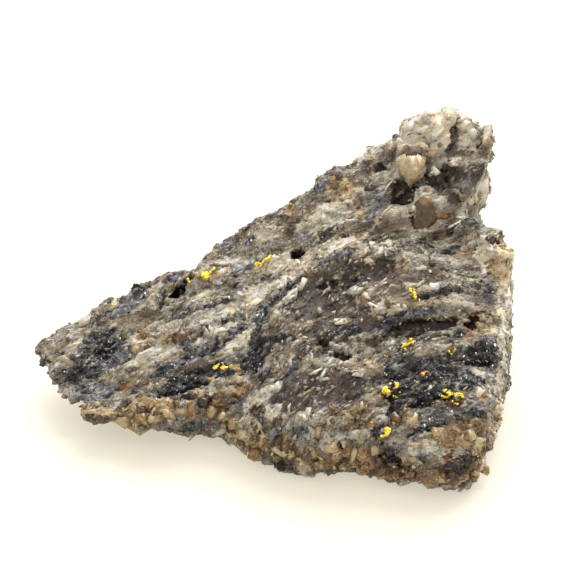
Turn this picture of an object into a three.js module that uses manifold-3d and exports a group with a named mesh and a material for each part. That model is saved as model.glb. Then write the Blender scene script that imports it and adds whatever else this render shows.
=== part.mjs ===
// A hand specimen of native gold: small hackly grains of gold seated in a wedge of banded grey quartz.
// Units are millimetres, +Z is up, and the rock lies on Z = 0 with the group's origin under its middle.
// The rock is a field, below 0 inside, that is drawn on a grid as flat faces. Crystals are then joined to it,
// and a pocket is cut for each grain of gold.
import * as THREE from "three";
import { ImprovedNoise } from "three/addons/math/ImprovedNoise.js";
import { mergeVertices } from "three/addons/utils/BufferGeometryUtils.js";
import Module from "manifold-3d";

// ---------- driving dimensions ----------
const CELL = 1.04; // step of the grid that the rock's surface is drawn on
const SHORTEST_EDGE = 0.3; // under this, an edge of the joined rock is a sliver
const CLEARANCE = 0.28; // between a gold grain and the pocket that it sits in
const GOLD_SUNK = 0.1; // how far a gold grain's middle lies below the rock's face

// The rock's outline from above, anticlockwise. X runs along the wedge, and Y from its front to its back.
const BLOCK_FRONT = [
  [-1.0, 2.6], [2.0, 1.2], [6.4, 1.2], [9.9, 0.5], [12.5, -0.7], [15.0, -1.0], [17.0, -0.2], [18.4, 2.0],
  [19.8, 6.0],
];
const RIGHT_SIDE = [
  [20.4, 10.5], [20.9, 14.5], [21.2, 18.0], [20.5, 20.9], [18.5, 22.2], [17.0, 23.4], [17.2, 25.4],
];
const PEAK_EDGE = [
  [18.6, 27.4], [19.4, 29.2], [19.4, 31.0], [17.8, 31.9], [16.2, 32.4], [14.2, 32.7], [12.0, 32.1],
  [10.4, 31.3],
];
const BACK_EDGE = [
  [8.0, 30.6], [4.4, 29.1], [0.9, 27.2], [-4.4, 24.2], [-7.7, 22.0], [-11.2, 20.7], [-14.7, 19.2],
  [-17.6, 17.4], [-19.3, 16.7], [-20.9, 16.0], [-21.3, 14.8], [-20.9, 13.5],
];
const WING_FRONT = [
  [-20.0, 12.3], [-19.7, 10.5], [-19.1, 8.5], [-16.9, 6.1], [-14.7, 6.6], [-11.2, 5.4], [-5.9, 6.2],
  [-3.9, 5.2], [-2.8, 4.0],
];
const OUTLINE = [...BLOCK_FRONT, ...RIGHT_SIDE, ...PEAK_EDGE, ...BACK_EDGE, ...WING_FRONT];

// The thin wing's upper face is a plane that climbs to the right and to the back.
const WING = { height: 4.4, slopeX: 0.19, slopeY: 0.265, lift: 0.16, liftFrom: -2 };
// The front block is a squarish lens of folded bands that stands proud of the wing.
const BLOCK = { x: 9.0, y: 10.2, halfLength: 12.3, halfDepth: 12.6, squareness: 2.6 };
const BLOCK_FACE = { height: 3.0, slopeX: 0.09, slopeY: 0.333, crown: 1.5, shoulder: 4.5 };
// The peak is a steep knob behind the block, with a dip in its crest.
const PEAK = { left: 4.5, right: 11.5, foot: 23.4, footHeight: 10.5, steepness: 0.9, top: 17.7 };
const PEAK_DIP = { x: 16.8, depth: 0.9, halfWidth: 2 };
// A buttress fills the foot of the notch between the block and the peak.
const BUTTRESS = { at: [15.8, 23.4, 1.5], size: [4.4, 5.4, 6.8] };

// Bands run along the wing at a steady angle, and bend over the block. They stand out as ledges on the sides.
const BAND = { length: 8, spacing: 2.1, relief: 0.55, crease: 0.45 };
const STRIKE = { wing: 0.53, block: 1.28, bend: 0.0315 };
const LEDGES = { depth: 0.8, length: 6.5, thickness: 1.25 };
const ROUGHNESS = { coarse: 0.5, coarseSize: 5.2, fine: 0.34, fineSize: 2.1, edge: 0.5 };
const PITS = { depth: 1.8, length: 6.1, width: 4.7, level: 0.15 }; // shallow hollows of the underside
const LEAN = { front: 0.1, back: 0.16 }; // of the walls, in millimetres for each millimetre of height

// Hollows of the upper face: [x, y, half length, half width, depth, angle in degrees].
// One with a depth below 0 is a ridge.
const HOLLOWS = [
  [-3.6, 7.2, 2.8, 1.2, 1.0, 80], // cleft between the wing and the block
  [-3.7, 12.4, 3.4, 1.0, 0.9, 80],
  [-1.4, 18.0, 3.4, 1.0, 0.9, 42],
  [3.0, 20.9, 3.2, 1.0, 0.8, 27],
  [4.6, 16.5, 3.4, 1.0, 1.1, 22], // long brown hollow near the top of the block
  [5.9, 9.0, 2.1, 0.9, 1.1, 14],
  [13.1, 11.6, 2.9, 0.9, 1.3, 10], // long dark hollow
  [17.3, 11.2, 1.0, 0.8, 1.8, 40], // rusty hole
  [14.4, 6.4, 3.6, 1.5, 0.7, 16], // the darkest band
  [9.6, 3.2, 1.6, 0.9, 0.7, 10],
  [14.6, 22.9, 3.9, 1.2, 1.9, 6], // recess behind the block
  [11.4, 26.2, 1.6, 1.3, 2.6, 60], // dark cavity under the peak
  [8.4, 27.9, 1.0, 0.8, 1.3, 30],
  [14.2, 27.6, 2.6, 0.9, 1.0, 50],
  [17.4, 28.6, 0.8, 2.6, 0.9, -8],
  [1.9, 23.2, 1.7, 0.8, 1.0, 20],
  [6.0, 25.6, 2.4, 0.8, 0.8, 32],
  [-8.6, 18.9, 1.7, 0.8, 1.1, 30],
  [-12.6, 15.4, 2.6, 0.8, 0.8, 30],
  [-8.1, 8.6, 4.0, 0.9, 0.9, 18], // dark groove low on the wing
  [-15.0, 12.6, 1.2, 0.7, 0.8, 20],
  [4.8, 7.3, 3.0, 0.7, -0.7, -14], // pale ridges on the block
  [4.8, 3.4, 3.4, 0.8, -0.6, 6],
  [-0.4, 12.4, 3.8, 0.8, -0.7, 68],
  [6.4, 19.2, 4.0, 0.7, -0.7, 18],
  [18.6, 17.6, 1.0, 2.6, -0.9, -8],
  [13.0, 17.4, 3.6, 0.6, -0.5, 10],
  [-9.4, 13.4, 3.6, 0.7, -0.6, 34], // and on the wing
  [4.0, 28.2, 3.4, 2.2, -1.1, 28], // bulge of the back edge
];

// Each crystal's form, its place, its angles, and how far its middle or root lies under the surface.
const CRYSTALS = [
  { grain: [2.1, 1.7, 3.2], at: [13.4, 25.0, 11.6], turn: [-0.5, 0.1, 0.2], sunk: 0.3 }, // in the recess
  { point: [2.8, 3.6], at: [12.1, 29.6, 14.6], turn: [2.2, -0.1, 0.3], sunk: 0.2 }, // under the peak
  { grain: [3.4, 2.2, 2.2], at: [10.2, 23.8, 11.9], turn: [0.3, 0.2, 0.5], sunk: 0.4 },
  { grain: [1.8, 1.9, 3.4], at: [18.4, 30.0, 14.6], turn: [0.1, 0.1, 0.1], sunk: 0.5 }, // corner of the peak
  { grain: [2.8, 2.4, 2.4], at: [13.4, 31.2, 17.0], turn: [0.5, 0.3, 0.6], sunk: 0.7 },
  { grain: [2.2, 1.6, 1.4], at: [17.2, 22.0, 11.3], turn: [0.2, 0.1, 0.4], sunk: 0.4 },
  { grain: [1.0, 3.0, 2.6], at: [19.4, 18.6, 12.4], turn: [0.2, 0.3, 0.3], sunk: 0.3 }, // plates
  { grain: [0.9, 2.4, 2.4], at: [18.2, 20.4, 12.4], turn: [0.2, -0.3, 0.7], sunk: 0.3 },
  { grain: [2.6, 2.2, 2.2], at: [-20.2, 15.0, 4.2], turn: [0.3, 0.4, 0.2], sunk: 0.6 }, // knob at the tip
  { grain: [1.8, 1.5, 1.7], at: [-14.8, 18.8, 6.2], turn: [0.4, 0.2, 0.9], sunk: 0.4 },
  { grain: [2.0, 1.7, 1.6], at: [-3.1, 5.9, 2.4], turn: [0.2, 0.5, 0.3], sunk: 0.3 }, // in the cleft
  { grain: [1.7, 1.6, 1.5], at: [-1.8, 4.3, 1.8], turn: [0.8, 0.1, 0.6], sunk: 0.3 },
];

// Sugary quartz along the front of the wing and the block: rows of blunt grains, each partly in the wall.
const RIM_PATH = [...WING_FRONT, ...BLOCK_FRONT];
const RIM = { spacing: 1.75, rowHeight: 1.9, smallest: 1.5, largest: 2.5, sunk: 0.2 };

// Each gold grain: its place from above, its length, width and thickness, and its angle from above.
const GOLD = [
  { name: "gold_grain_wing_bright", x: -6.3, y: 19.7, size: [1.0, 0.85, 0.6], angle: 20 },
  { name: "gold_grain_wing_small", x: -7.7, y: 19.6, size: [0.65, 0.6, 0.5], angle: 60 },
  { name: "gold_leaf_wing_long", x: -1.2, y: 20.7, size: [1.6, 0.65, 0.5], angle: 36 },
  { name: "gold_cluster_wing_low", x: -4.8, y: 10.7, size: [1.4, 0.8, 0.55], angle: -12 },
  { name: "gold_grain_block_top", x: 11.9, y: 14.1, size: [0.75, 1.0, 0.55], angle: 15 },
  { name: "gold_grain_block_middle", x: 11.4, y: 9.8, size: [1.15, 0.8, 0.55], angle: 45 },
  { name: "gold_nugget_block_bright", x: 9.3, y: 5.3, size: [0.95, 1.0, 0.65], angle: 0 },
  { name: "gold_grain_block_beside", x: 10.5, y: 5.9, size: [0.7, 0.65, 0.5], angle: 30 },
  { name: "gold_cluster_block_right", x: 15.0, y: 4.3, size: [2.0, 0.85, 0.55], angle: -4 },
  { name: "gold_grain_block_copper", x: 12.7, y: 6.8, size: [0.75, 0.6, 0.5], angle: 10, color: 0xd58a3e },
  { name: "gold_nugget_block_low", x: 9.4, y: 1.7, size: [0.85, 0.9, 0.6], angle: 25 },
  { name: "gold_grain_block_faint", x: 15.0, y: 8.7, size: [0.75, 0.6, 0.5], angle: 30 },
];

// ---------- small helpers ----------
const { clamp, lerp, smoothstep: rise, degToRad } = THREE.MathUtils;
const noise = new ImprovedNoise();

// The larger of two distances, with the edge where they meet rounded off.
function roundedMax(a, b, rounding) {
  const overlap = Math.max(rounding - Math.abs(a - b), 0) / rounding;
  return Math.max(a, b) + (overlap * overlap * rounding) / 4;
}

// Numbers from 0 to 1 that are the same on every run.
function seededRandom(seed) {
  let state = seed;
  return () => {
    state = (state * 1664525 + 1013904223) % 2 ** 32;
    return state / 2 ** 32;
  };
}

// Distance from a point to the outline, below 0 inside it.
function outlineDistance(x, y) {
  let nearest = Infinity;
  let inside = false;
  OUTLINE.forEach(([bx, by], i) => {
    const [ax, ay] = OUTLINE[(i + OUTLINE.length - 1) % OUTLINE.length];
    const [ex, ey, px, py] = [bx - ax, by - ay, x - ax, y - ay];
    const share = clamp((px * ex + py * ey) / (ex * ex + ey * ey), 0, 1);
    nearest = Math.min(nearest, Math.hypot(px - ex * share, py - ey * share));
    if (ay > y !== by > y && px < (ex * py) / ey) inside = !inside;
  });
  return inside ? -nearest : nearest;
}

// ---------- the rock's upper face ----------
const wingHeight = (x, y) => WING.height + WING.slopeX * x + WING.slopeY * y;

// How far inside the front block a point lies, seen from above.
function blockDepth(x, y) {
  const across = Math.abs((x - BLOCK.x) / BLOCK.halfLength) ** BLOCK.squareness;
  const along = Math.abs((y - BLOCK.y) / BLOCK.halfDepth) ** BLOCK.squareness;
  return (1 - (across + along) ** (1 / BLOCK.squareness)) * BLOCK.halfLength;
}

function blockHeight(x, y) {
  const face = BLOCK_FACE.height + BLOCK_FACE.slopeX * x + BLOCK_FACE.slopeY * y;
  return face + BLOCK_FACE.crown * rise(blockDepth(x, y), 0, BLOCK_FACE.shoulder);
}

function peakHeight(x, y) {
  const face = PEAK.footHeight + PEAK.steepness * (y - PEAK.foot);
  const dip = PEAK_DIP.depth * rise(PEAK_DIP.halfWidth - Math.abs(x - PEAK_DIP.x), 0, PEAK_DIP.halfWidth);
  return Math.min(face, PEAK.top) - dip;
}

// Where a point lies along its band, and how far across the bands.
function bandCoordinates(x, y) {
  const onWing = STRIKE.wing * x;
  const reach = clamp(x - BLOCK.x + BLOCK.halfLength, 0, 17);
  const onBlock = STRIKE.block * reach - STRIKE.bend * reach * reach - 3;
  const across = y - lerp(onWing, onBlock, rise(blockDepth(x, y), -1, 1));
  return { along: x + 0.45 * y, across: 0.85 * across };
}

function bandRelief(x, y) {
  const place = bandCoordinates(x, y);
  const [along, across] = [place.along / BAND.length, place.across / BAND.spacing];
  const wave = noise.noise(along, across, 3.7);
  const creased = 0.25 - Math.abs(noise.noise(along + 5, 1.3 * across, 8.2));
  return BAND.relief * wave + BAND.crease * creased;
}

function hollowDepth(x, y) {
  return HOLLOWS.reduce((sum, [cx, cy, halfLength, halfWidth, depth, degrees]) => {
    const turn = degToRad(degrees);
    const [dx, dy] = [x - cx, y - cy];
    const along = (dx * Math.cos(turn) + dy * Math.sin(turn)) / halfLength;
    const across = (dy * Math.cos(turn) - dx * Math.sin(turn)) / halfWidth;
    return sum + depth * Math.exp(-1.3 * (along * along + across * across));
  }, 0);
}

function topHeight(x, y) {
  const low = lerp(wingHeight(x, y), blockHeight(x, y), rise(blockDepth(x, y), -0.4, 0.7));
  const high = lerp(low, Math.max(low, peakHeight(x, y)), rise(x, PEAK.left, PEAK.right));
  return high + bandRelief(x, y) - hollowDepth(x, y);
}

// ---------- the rest of the rock ----------
// The underside is the flat fracture that the rock lies on, with shallow pits. It lifts towards the tip.
function undersideHeight(x, y) {
  const lift = WING.lift * Math.max(WING.liftFrom - x, 0);
  const inner = rise(-outlineDistance(x, y), 1, 4);
  const wave = noise.noise((0.8 * x + 0.6 * y) / PITS.length, (0.8 * y - 0.6 * x) / PITS.width, 9.1);
  const pitted = inner * (PITS.depth * wave - PITS.level);
  return Math.max(lift + Math.min(lift, 1) * pitted, pitted, 0);
}

// The front wall leans back from its foot, and the back wall leans in from its upper edge.
function wallInset(x, y, z) {
  const below = Math.max(wingHeight(x, y) - z, 0);
  return lerp(LEAN.front * z, LEAN.back * below, rise(y - 0.2 * x, 9, 17));
}

function roughness(x, y, z) {
  const { coarse, coarseSize, fine, fineSize } = ROUGHNESS;
  const layer = (wingHeight(x, y) - z) / LEDGES.thickness;
  const ledge = LEDGES.depth * noise.noise(x / LEDGES.length, y / LEDGES.length, layer + 80);
  return (
    coarse * noise.noise(x / coarseSize, y / coarseSize, z / coarseSize + 20) +
    fine * noise.noise(x / fineSize, y / fineSize, z / fineSize + 50) +
    ledge * rise(layer, 0.5, 1.5)
  );
}

function buttress(x, y, z) {
  const [cx, cy, cz] = BUTTRESS.at;
  const [sx, sy, sz] = BUTTRESS.size;
  return (Math.hypot((x - cx) / sx, (y - cy) / sy, (z - cz) / sz) - 1) * sx;
}

// Below 0 inside the rock, and about the distance to its surface near it.
function rock(x, y, z) {
  const wall = outlineDistance(x, y) + wallInset(x, y, z);
  const top = (z - topHeight(x, y)) / Math.hypot(1, WING.slopeX, BLOCK_FACE.slopeY);
  const body = Math.min(roundedMax(wall, top, ROUGHNESS.edge), buttress(x, y, z));
  return Math.max(body + roughness(x, y, z), undersideHeight(x, y) - z);
}

// The way that the surface near a point faces.
const SLOPE_STEP = 0.6;
function normalAt({ x, y, z }) {
  return new THREE.Vector3(
    rock(x + SLOPE_STEP, y, z) - rock(x - SLOPE_STEP, y, z),
    rock(x, y + SLOPE_STEP, z) - rock(x, y - SLOPE_STEP, z),
    rock(x, y, z + SLOPE_STEP) - rock(x, y, z - SLOPE_STEP),
  ).normalize();
}

// Moves a point in or out until it lies at a depth under the surface.
function seated(point, depth) {
  for (let i = 0; i < 12; i++) {
    const short = rock(point.x, point.y, point.z) + depth;
    point.addScaledVector(normalAt(point), -0.7 * short);
  }
  return point;
}

// ---------- from a field to a closed surface ----------
const sameSide = (a, b) => a < 0 === b < 0;

// Calls a function for each cell of a grid and each of the three axes.
function eachCell(from, count, visit) {
  for (let i = from; i < count[0] - 1; i++)
    for (let j = from; j < count[1] - 1; j++)
      for (let k = from; k < count[2] - 1; k++)
        for (let axis = 0; axis < 3; axis++) visit([i, j, k], axis);
}

// A cell's neighbour at a step along each of the two other axes.
function beside(cell, axis, [du, dv]) {
  const at = [...cell];
  at[(axis + 1) % 3] += du;
  at[(axis + 2) % 3] += dv;
  return at;
}

// Fills one corner of each grid face whose corners lie in and out by turns: two sheets would touch there.
function closePinches(values, count, index) {
  const corners = [[0, 0], [1, 0], [1, 1], [0, 1]];
  let changed = true;
  while (changed) {
    changed = false;
    eachCell(0, count, (cell, axis) => {
      const face = corners.map((step) => index(beside(cell, axis, step)));
      const [a, b, c, d] = face.map((corner) => values[corner]);
      if (!sameSide(a, c) || !sameSide(b, d) || sameSide(a, b)) return;
      values[a < 0 ? face[1] : face[0]] = -0.05 * CELL;
      changed = true;
    });
  }
}

// Draws the surface where a field is 0: a point in each grid cell that it crosses, a quad at each grid edge.
function surfaceOf(field, low, high) {
  const count = low.map((from, axis) => Math.ceil((high[axis] - from) / CELL) + 1);
  const index = ([i, j, k]) => (i * count[1] + j) * count[2] + k;
  const place = (step, axis) => low[axis] + step * CELL;
  const values = new Float64Array(count[0] * count[1] * count[2]);
  for (let i = 0; i < count[0]; i++)
    for (let j = 0; j < count[1]; j++)
      for (let k = 0; k < count[2]; k++) values[index([i, j, k])] = field(...[i, j, k].map(place));
  closePinches(values, count, index);

  // A cell's point is the middle of the places where the surface crosses its twelve edges.
  const points = [];
  const pointOf = new Map();
  function cellPoint(cell) {
    const key = index(cell);
    if (pointOf.has(key)) return pointOf.get(key);
    const crossings = [];
    for (let axis = 0; axis < 3; axis++)
      for (const step of [[0, 0], [1, 0], [0, 1], [1, 1]]) {
        const start = beside(cell, axis, step);
        const end = start.map((at, a) => at + (a === axis));
        const [from, to] = [values[index(start)], values[index(end)]];
        if (sameSide(from, to)) continue;
        const share = from / (from - to);
        crossings.push(new THREE.Vector3(...start.map((at, a) => place(at + (a === axis) * share, a))));
      }
    const sum = crossings.reduce((total, crossing) => total.add(crossing), new THREE.Vector3());
    pointOf.set(key, points.length);
    points.push(sum.divideScalar(crossings.length));
    return points.length - 1;
  }

  const triangles = [];
  eachCell(1, count, (cell, axis) => {
    const next = cell.map((at, a) => at + (a === axis));
    const [from, to] = [values[index(cell)], values[index(next)]];
    if (sameSide(from, to)) return;
    const around = [[0, 0], [-1, 0], [-1, -1], [0, -1]].map((step) => cellPoint(beside(cell, axis, step)));
    const [a, b, c, d] = from < 0 ? around : around.reverse();
    const firstIsShorter = points[a].distanceTo(points[c]) <= points[b].distanceTo(points[d]);
    triangles.push(...(firstIsShorter ? [a, b, c, a, c, d] : [b, c, d, b, d, a]));
  });
  return new THREE.BufferGeometry().setFromPoints(points).setIndex(triangles);
}

// ---------- joining and cutting ----------
const wasm = await Module();
wasm.setup();

function solidOf(geometry, matrix = new THREE.Matrix4()) {
  const bare = geometry.clone().deleteAttribute("normal").deleteAttribute("uv");
  const merged = mergeVertices(bare.applyMatrix4(matrix), 1e-4);
  const mesh = new wasm.Mesh({
    numProp: 3,
    vertProperties: merged.getAttribute("position").array,
    triVerts: new Uint32Array(merged.index.array),
  });
  return new wasm.Manifold(mesh);
}

function geometryOf(solid) {
  const { vertProperties, triVerts } = solid.getMesh();
  const geometry = new THREE.BufferGeometry();
  geometry.setAttribute("position", new THREE.BufferAttribute(vertProperties, 3));
  return geometry.setIndex(new THREE.BufferAttribute(triVerts, 1));
}

// Joins the two ends of each edge under a length, which clears the slivers that joins and cuts leave.
function withoutSlivers(geometry, shortest) {
  const corners = geometry.getAttribute("position");
  const pointAt = (_, i) => new THREE.Vector3().fromBufferAttribute(corners, i);
  const points = Array.from({ length: corners.count }, pointAt);
  const facesOf = points.map(() => new Set());
  const faces = [];
  for (let i = 0; i < geometry.index.count; i += 3) {
    const face = [0, 1, 2].map((step) => geometry.index.getX(i + step));
    face.forEach((point) => facesOf[point].add(faces.length));
    faces.push(face);
  }

  const around = (point) => new Set([...facesOf[point]].flatMap((face) => faces[face]));
  function normalOf(face, placeOf = (point) => points[point]) {
    const [a, b, c] = faces[face].map(placeOf);
    return b.clone().sub(a).cross(c.clone().sub(a)).normalize();
  }

  // Joins a and b halfway between them, unless that would pinch the surface or turn a face over.
  function join(a, b) {
    const shared = [...facesOf[a]].filter((face) => facesOf[b].has(face));
    const aroundB = around(b);
    const common = [...around(a)].filter((point) => aroundB.has(point));
    if (shared.length !== 2 || common.length !== 4) return false;
    const halfway = points[a].clone().lerp(points[b], 0.5);
    const moved = (point) => (point === a || point === b ? halfway : points[point]);
    const kept = [...facesOf[a], ...facesOf[b]].filter((face) => !shared.includes(face));
    if (kept.some((face) => normalOf(face, moved).dot(normalOf(face)) < 0.3)) return false;
    points[a].copy(halfway);
    shared.forEach((face) => {
      faces[face].forEach((point) => facesOf[point].delete(face));
      faces[face] = null;
    });
    facesOf[b].forEach((face) => {
      faces[face][faces[face].indexOf(b)] = a;
      facesOf[a].add(face);
    });
    facesOf[b].clear();
    return true;
  }

  let joined = true;
  while (joined) {
    joined = false;
    for (let face = 0; face < faces.length; face++)
      for (let side = 0; side < 3 && faces[face]; side++) {
        const [a, b] = [faces[face][side], faces[face][(side + 1) % 3]];
        if (points[a].distanceTo(points[b]) < shortest && join(a, b)) joined = true;
      }
  }
  return new THREE.BufferGeometry().setFromPoints(points).setIndex(faces.filter((face) => face).flat());
}

// ---------- crystals that are grown into the rock ----------
// A six-sided quartz point, along +Z from its root.
function quartzPoint(width, length) {
  const radius = width / 2;
  const profile = [[0, 0], [radius, 0], [radius, length - radius], [0, length]];
  const corners = profile.map(([x, y]) => new THREE.Vector2(x, y));
  return new THREE.LatheGeometry(corners, 6).rotateX(Math.PI / 2);
}

// A blunt quartz grain with flat faces.
function quartzGrain(width, depth, height) {
  return new THREE.DodecahedronGeometry(0.5).scale(width, depth, height);
}

function crystalSolid({ grain, point, at, turn, sunk }) {
  const form = grain ? quartzGrain(...grain) : quartzPoint(...point);
  const middle = seated(new THREE.Vector3(...at), sunk);
  const matrix = new THREE.Matrix4().makeRotationFromEuler(new THREE.Euler(...turn));
  return solidOf(form, matrix.setPosition(middle));
}

function rimGrains() {
  const random = seededRandom(7);
  const between = (low, high) => lerp(low, high, random());
  const grains = [];
  RIM_PATH.slice(1).forEach(([bx, by], i) => {
    const [ax, ay] = RIM_PATH[i];
    const steps = Math.max(1, Math.round(Math.hypot(bx - ax, by - ay) / RIM.spacing));
    for (let step = 0; step < steps; step++) {
      const share = (step + random()) / steps;
      const [x, y] = [lerp(ax, bx, share), lerp(ay, by, share)];
      const foot = undersideHeight(x, y);
      const room = topHeight(x, y) - foot - RIM.smallest;
      const rows = Math.max(1, Math.round(room / RIM.rowHeight));
      for (let row = 0; row < rows; row++) {
        const size = between(RIM.smallest, RIM.largest);
        const z = foot + size / 2 + (room * (row + 0.6 * random())) / rows;
        const turn = [between(0, 3), between(0, 3), between(0, 3)];
        grains.push({ grain: [size, 0.9 * size, 0.8 * size], at: [x, y, z], turn, sunk: RIM.sunk * size });
      }
    }
  });
  return grains;
}

// ---------- the gold ----------
// A hackly grain: a ball of flat faces, each corner pulled in by its own amount.
function hacklyGrain([length, width, thickness], seed) {
  const random = seededRandom(seed);
  const faceted = new THREE.IcosahedronGeometry(0.5, 1).deleteAttribute("normal").deleteAttribute("uv");
  const ball = mergeVertices(faceted);
  const corners = ball.getAttribute("position");
  for (let i = 0; i < corners.count; i++) {
    const corner = new THREE.Vector3().fromBufferAttribute(corners, i);
    corner.multiplyScalar(lerp(0.82, 1, random()));
    corners.setXYZ(i, corner.x, corner.y, corner.z);
  }
  return ball.scale(length, width, thickness);
}

// Where a grain lies: on the rock's upper face, turned to face the way that the rock does there.
function goldMatrix({ x, y, angle }) {
  const surface = new THREE.Vector3(x, y, topHeight(x, y));
  for (let i = 0; i < 30; i++) surface.z -= 0.6 * rock(x, y, surface.z);
  const up = new THREE.Vector3(0, 0, 1);
  const normal = normalAt(surface);
  const turn = new THREE.Quaternion().setFromUnitVectors(up, normal);
  turn.multiply(new THREE.Quaternion().setFromAxisAngle(up, degToRad(angle)));
  const middle = surface.addScaledVector(normal, -GOLD_SUNK);
  return new THREE.Matrix4().compose(middle, turn, new THREE.Vector3(1, 1, 1));
}

// The pocket is the grain itself, grown by the clearance on every side.
function pocketSolid(grain, index) {
  const grown = grain.size.map((side) => side + 2 * CLEARANCE);
  return solidOf(hacklyGrain(grown, index + 1), goldMatrix(grain));
}

// ---------- the specimen ----------
function quartzRock() {
  const margin = 3 * CELL;
  const low = [-22 - margin, -1 - margin, -margin];
  const high = [22 + margin, 33 + margin, 18 + margin];
  let solid = solidOf(surfaceOf(rock, low, high));
  [...CRYSTALS, ...rimGrains()].forEach((crystal) => {
    solid = solid.add(crystalSolid(crystal));
  });
  solid = solidOf(withoutSlivers(geometryOf(solid), SHORTEST_EDGE));
  GOLD.forEach((grain, index) => {
    solid = solid.subtract(pocketSolid(grain, index));
  });
  const geometry = withoutSlivers(geometryOf(solid), SHORTEST_EDGE / 3);
  geometry.computeVertexNormals();
  return geometry;
}

function namedMesh(name, geometry, color, roughness, metalness) {
  const mesh = new THREE.Mesh(geometry, new THREE.MeshStandardMaterial({ color, roughness, metalness }));
  mesh.name = name;
  return mesh;
}

const specimen = new THREE.Group();
specimen.add(namedMesh("quartz_matrix", quartzRock(), 0x8d8578, 0.6, 0));
GOLD.forEach((grain, index) => {
  const mesh = namedMesh(grain.name, hacklyGrain(grain.size, index + 1), grain.color ?? 0xf2c230, 0.3, 1);
  goldMatrix(grain).decompose(mesh.position, mesh.quaternion, mesh.scale);
  specimen.add(mesh);
});

// The origin is under the middle of the rock, on the face that it lies on.
const bounds = new THREE.Box3().setFromObject(specimen);
const middle = bounds.getCenter(new THREE.Vector3());
specimen.position.set(-middle.x, -middle.y, -bounds.min.z);

export default specimen;
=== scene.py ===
# %% [markdown]
# # A chip of quartz with native gold
# The specimen is one piece of banded grey vein quartz, 42 mm wide, with small grains of native gold in it. A
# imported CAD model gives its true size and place. Everything below is built round that model, in metres and
# in the same frame, so nothing has to be fitted afterwards. The sizes in the cells are in millimetres, which
# suit a small stone.

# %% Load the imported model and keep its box
import math

import bmesh
import bpy
import numpy as np
from mathutils import Matrix, Vector
from mathutils.bvhtree import BVHTree


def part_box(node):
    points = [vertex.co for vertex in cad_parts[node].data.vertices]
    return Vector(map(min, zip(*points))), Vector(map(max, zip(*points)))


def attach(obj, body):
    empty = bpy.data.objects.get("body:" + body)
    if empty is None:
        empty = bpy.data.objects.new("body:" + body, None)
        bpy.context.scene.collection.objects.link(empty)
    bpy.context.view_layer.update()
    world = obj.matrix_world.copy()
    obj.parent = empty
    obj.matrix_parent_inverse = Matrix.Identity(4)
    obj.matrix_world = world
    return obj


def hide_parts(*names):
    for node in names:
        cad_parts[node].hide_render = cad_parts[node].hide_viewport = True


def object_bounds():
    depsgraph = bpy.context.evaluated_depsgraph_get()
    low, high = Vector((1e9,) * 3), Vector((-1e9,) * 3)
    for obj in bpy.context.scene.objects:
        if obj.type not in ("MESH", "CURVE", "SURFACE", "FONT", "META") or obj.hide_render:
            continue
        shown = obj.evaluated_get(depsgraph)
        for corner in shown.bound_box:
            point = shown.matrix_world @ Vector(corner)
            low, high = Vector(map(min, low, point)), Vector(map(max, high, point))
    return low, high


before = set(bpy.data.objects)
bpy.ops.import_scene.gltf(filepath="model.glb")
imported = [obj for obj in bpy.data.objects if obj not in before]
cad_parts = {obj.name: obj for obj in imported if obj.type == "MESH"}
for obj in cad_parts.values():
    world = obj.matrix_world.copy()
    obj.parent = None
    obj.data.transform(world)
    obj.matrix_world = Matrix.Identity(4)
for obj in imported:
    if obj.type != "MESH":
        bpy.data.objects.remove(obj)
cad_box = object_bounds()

MM = 0.001
box_low = np.array(cad_box[0]) / MM
box_high = np.array(cad_box[1]) / MM
print("CAD box in mm:", box_low.round(2), box_high.round(2))

# %% [markdown]
# ## The camera
# A small specimen is looked at through a long lens from some way off, so that near and far edges keep their
# proportions. The camera could be placed by eye, but here it is worked out: it stands in front, 38 degrees
# above the table, and its lens follows from how many millimetres of the stone fill its square view. Places
# on the stone are named by dots of that view later on, so its numbers are kept.

# %% Put the camera in place
# all lengths in mm
VIEW_DOTS = 575
VIEW_WIDTH = 50.42
DOT = VIEW_WIDTH / VIEW_DOTS
CAMERA_RISE = math.radians(38)
CAMERA_DISTANCE = 700.0
SENSOR_WIDTH = 36.0
FARTHEST_SEEN = 10000.0
AIM = np.array([1.157, 1.740, 8.988])

look = np.array([0, math.cos(CAMERA_RISE), -math.sin(CAMERA_RISE)])
view_right = np.array([1.0, 0, 0])
view_up = np.array([0, math.sin(CAMERA_RISE), math.cos(CAMERA_RISE)])
eye = AIM - look * CAMERA_DISTANCE

camera_data = bpy.data.cameras.new("camera")
camera_data.sensor_width = SENSOR_WIDTH
camera_data.lens = SENSOR_WIDTH * CAMERA_DISTANCE / VIEW_WIDTH
camera_data.clip_end = FARTHEST_SEEN * MM
camera = bpy.data.objects.new("camera", camera_data)
camera.location = Vector(eye * MM)
camera.rotation_euler = (math.pi / 2 - CAMERA_RISE, 0, 0)
bpy.context.scene.collection.objects.link(camera)
bpy.context.scene.camera = camera
print("lens", round(camera_data.lens, 1), "mm, one dot is", round(DOT, 4), "mm wide on the rock")

# %% [markdown]
# ## Repeatable randomness
# Rock is irregular at every size, so its shape and colour come from noise. Blender has noise textures, but
# their values can't be read while the mesh is made, so the noise is made here with numpy. Each cell of an
# endless lattice gets a number by hashing its place, and the same number comes out on every run. Two
# patterns are enough: soft clouds, and chips, where each point belongs to the nearest of many scattered
# centres, as in splintered quartz.

# %% A number for every cell of space
LATTICE_PRIMES = np.array([73856093, 19349663, 83492791])
LOW_32_BITS = 0xFFFFFFFF
LOW_24_BITS = 0xFFFFFF


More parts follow.
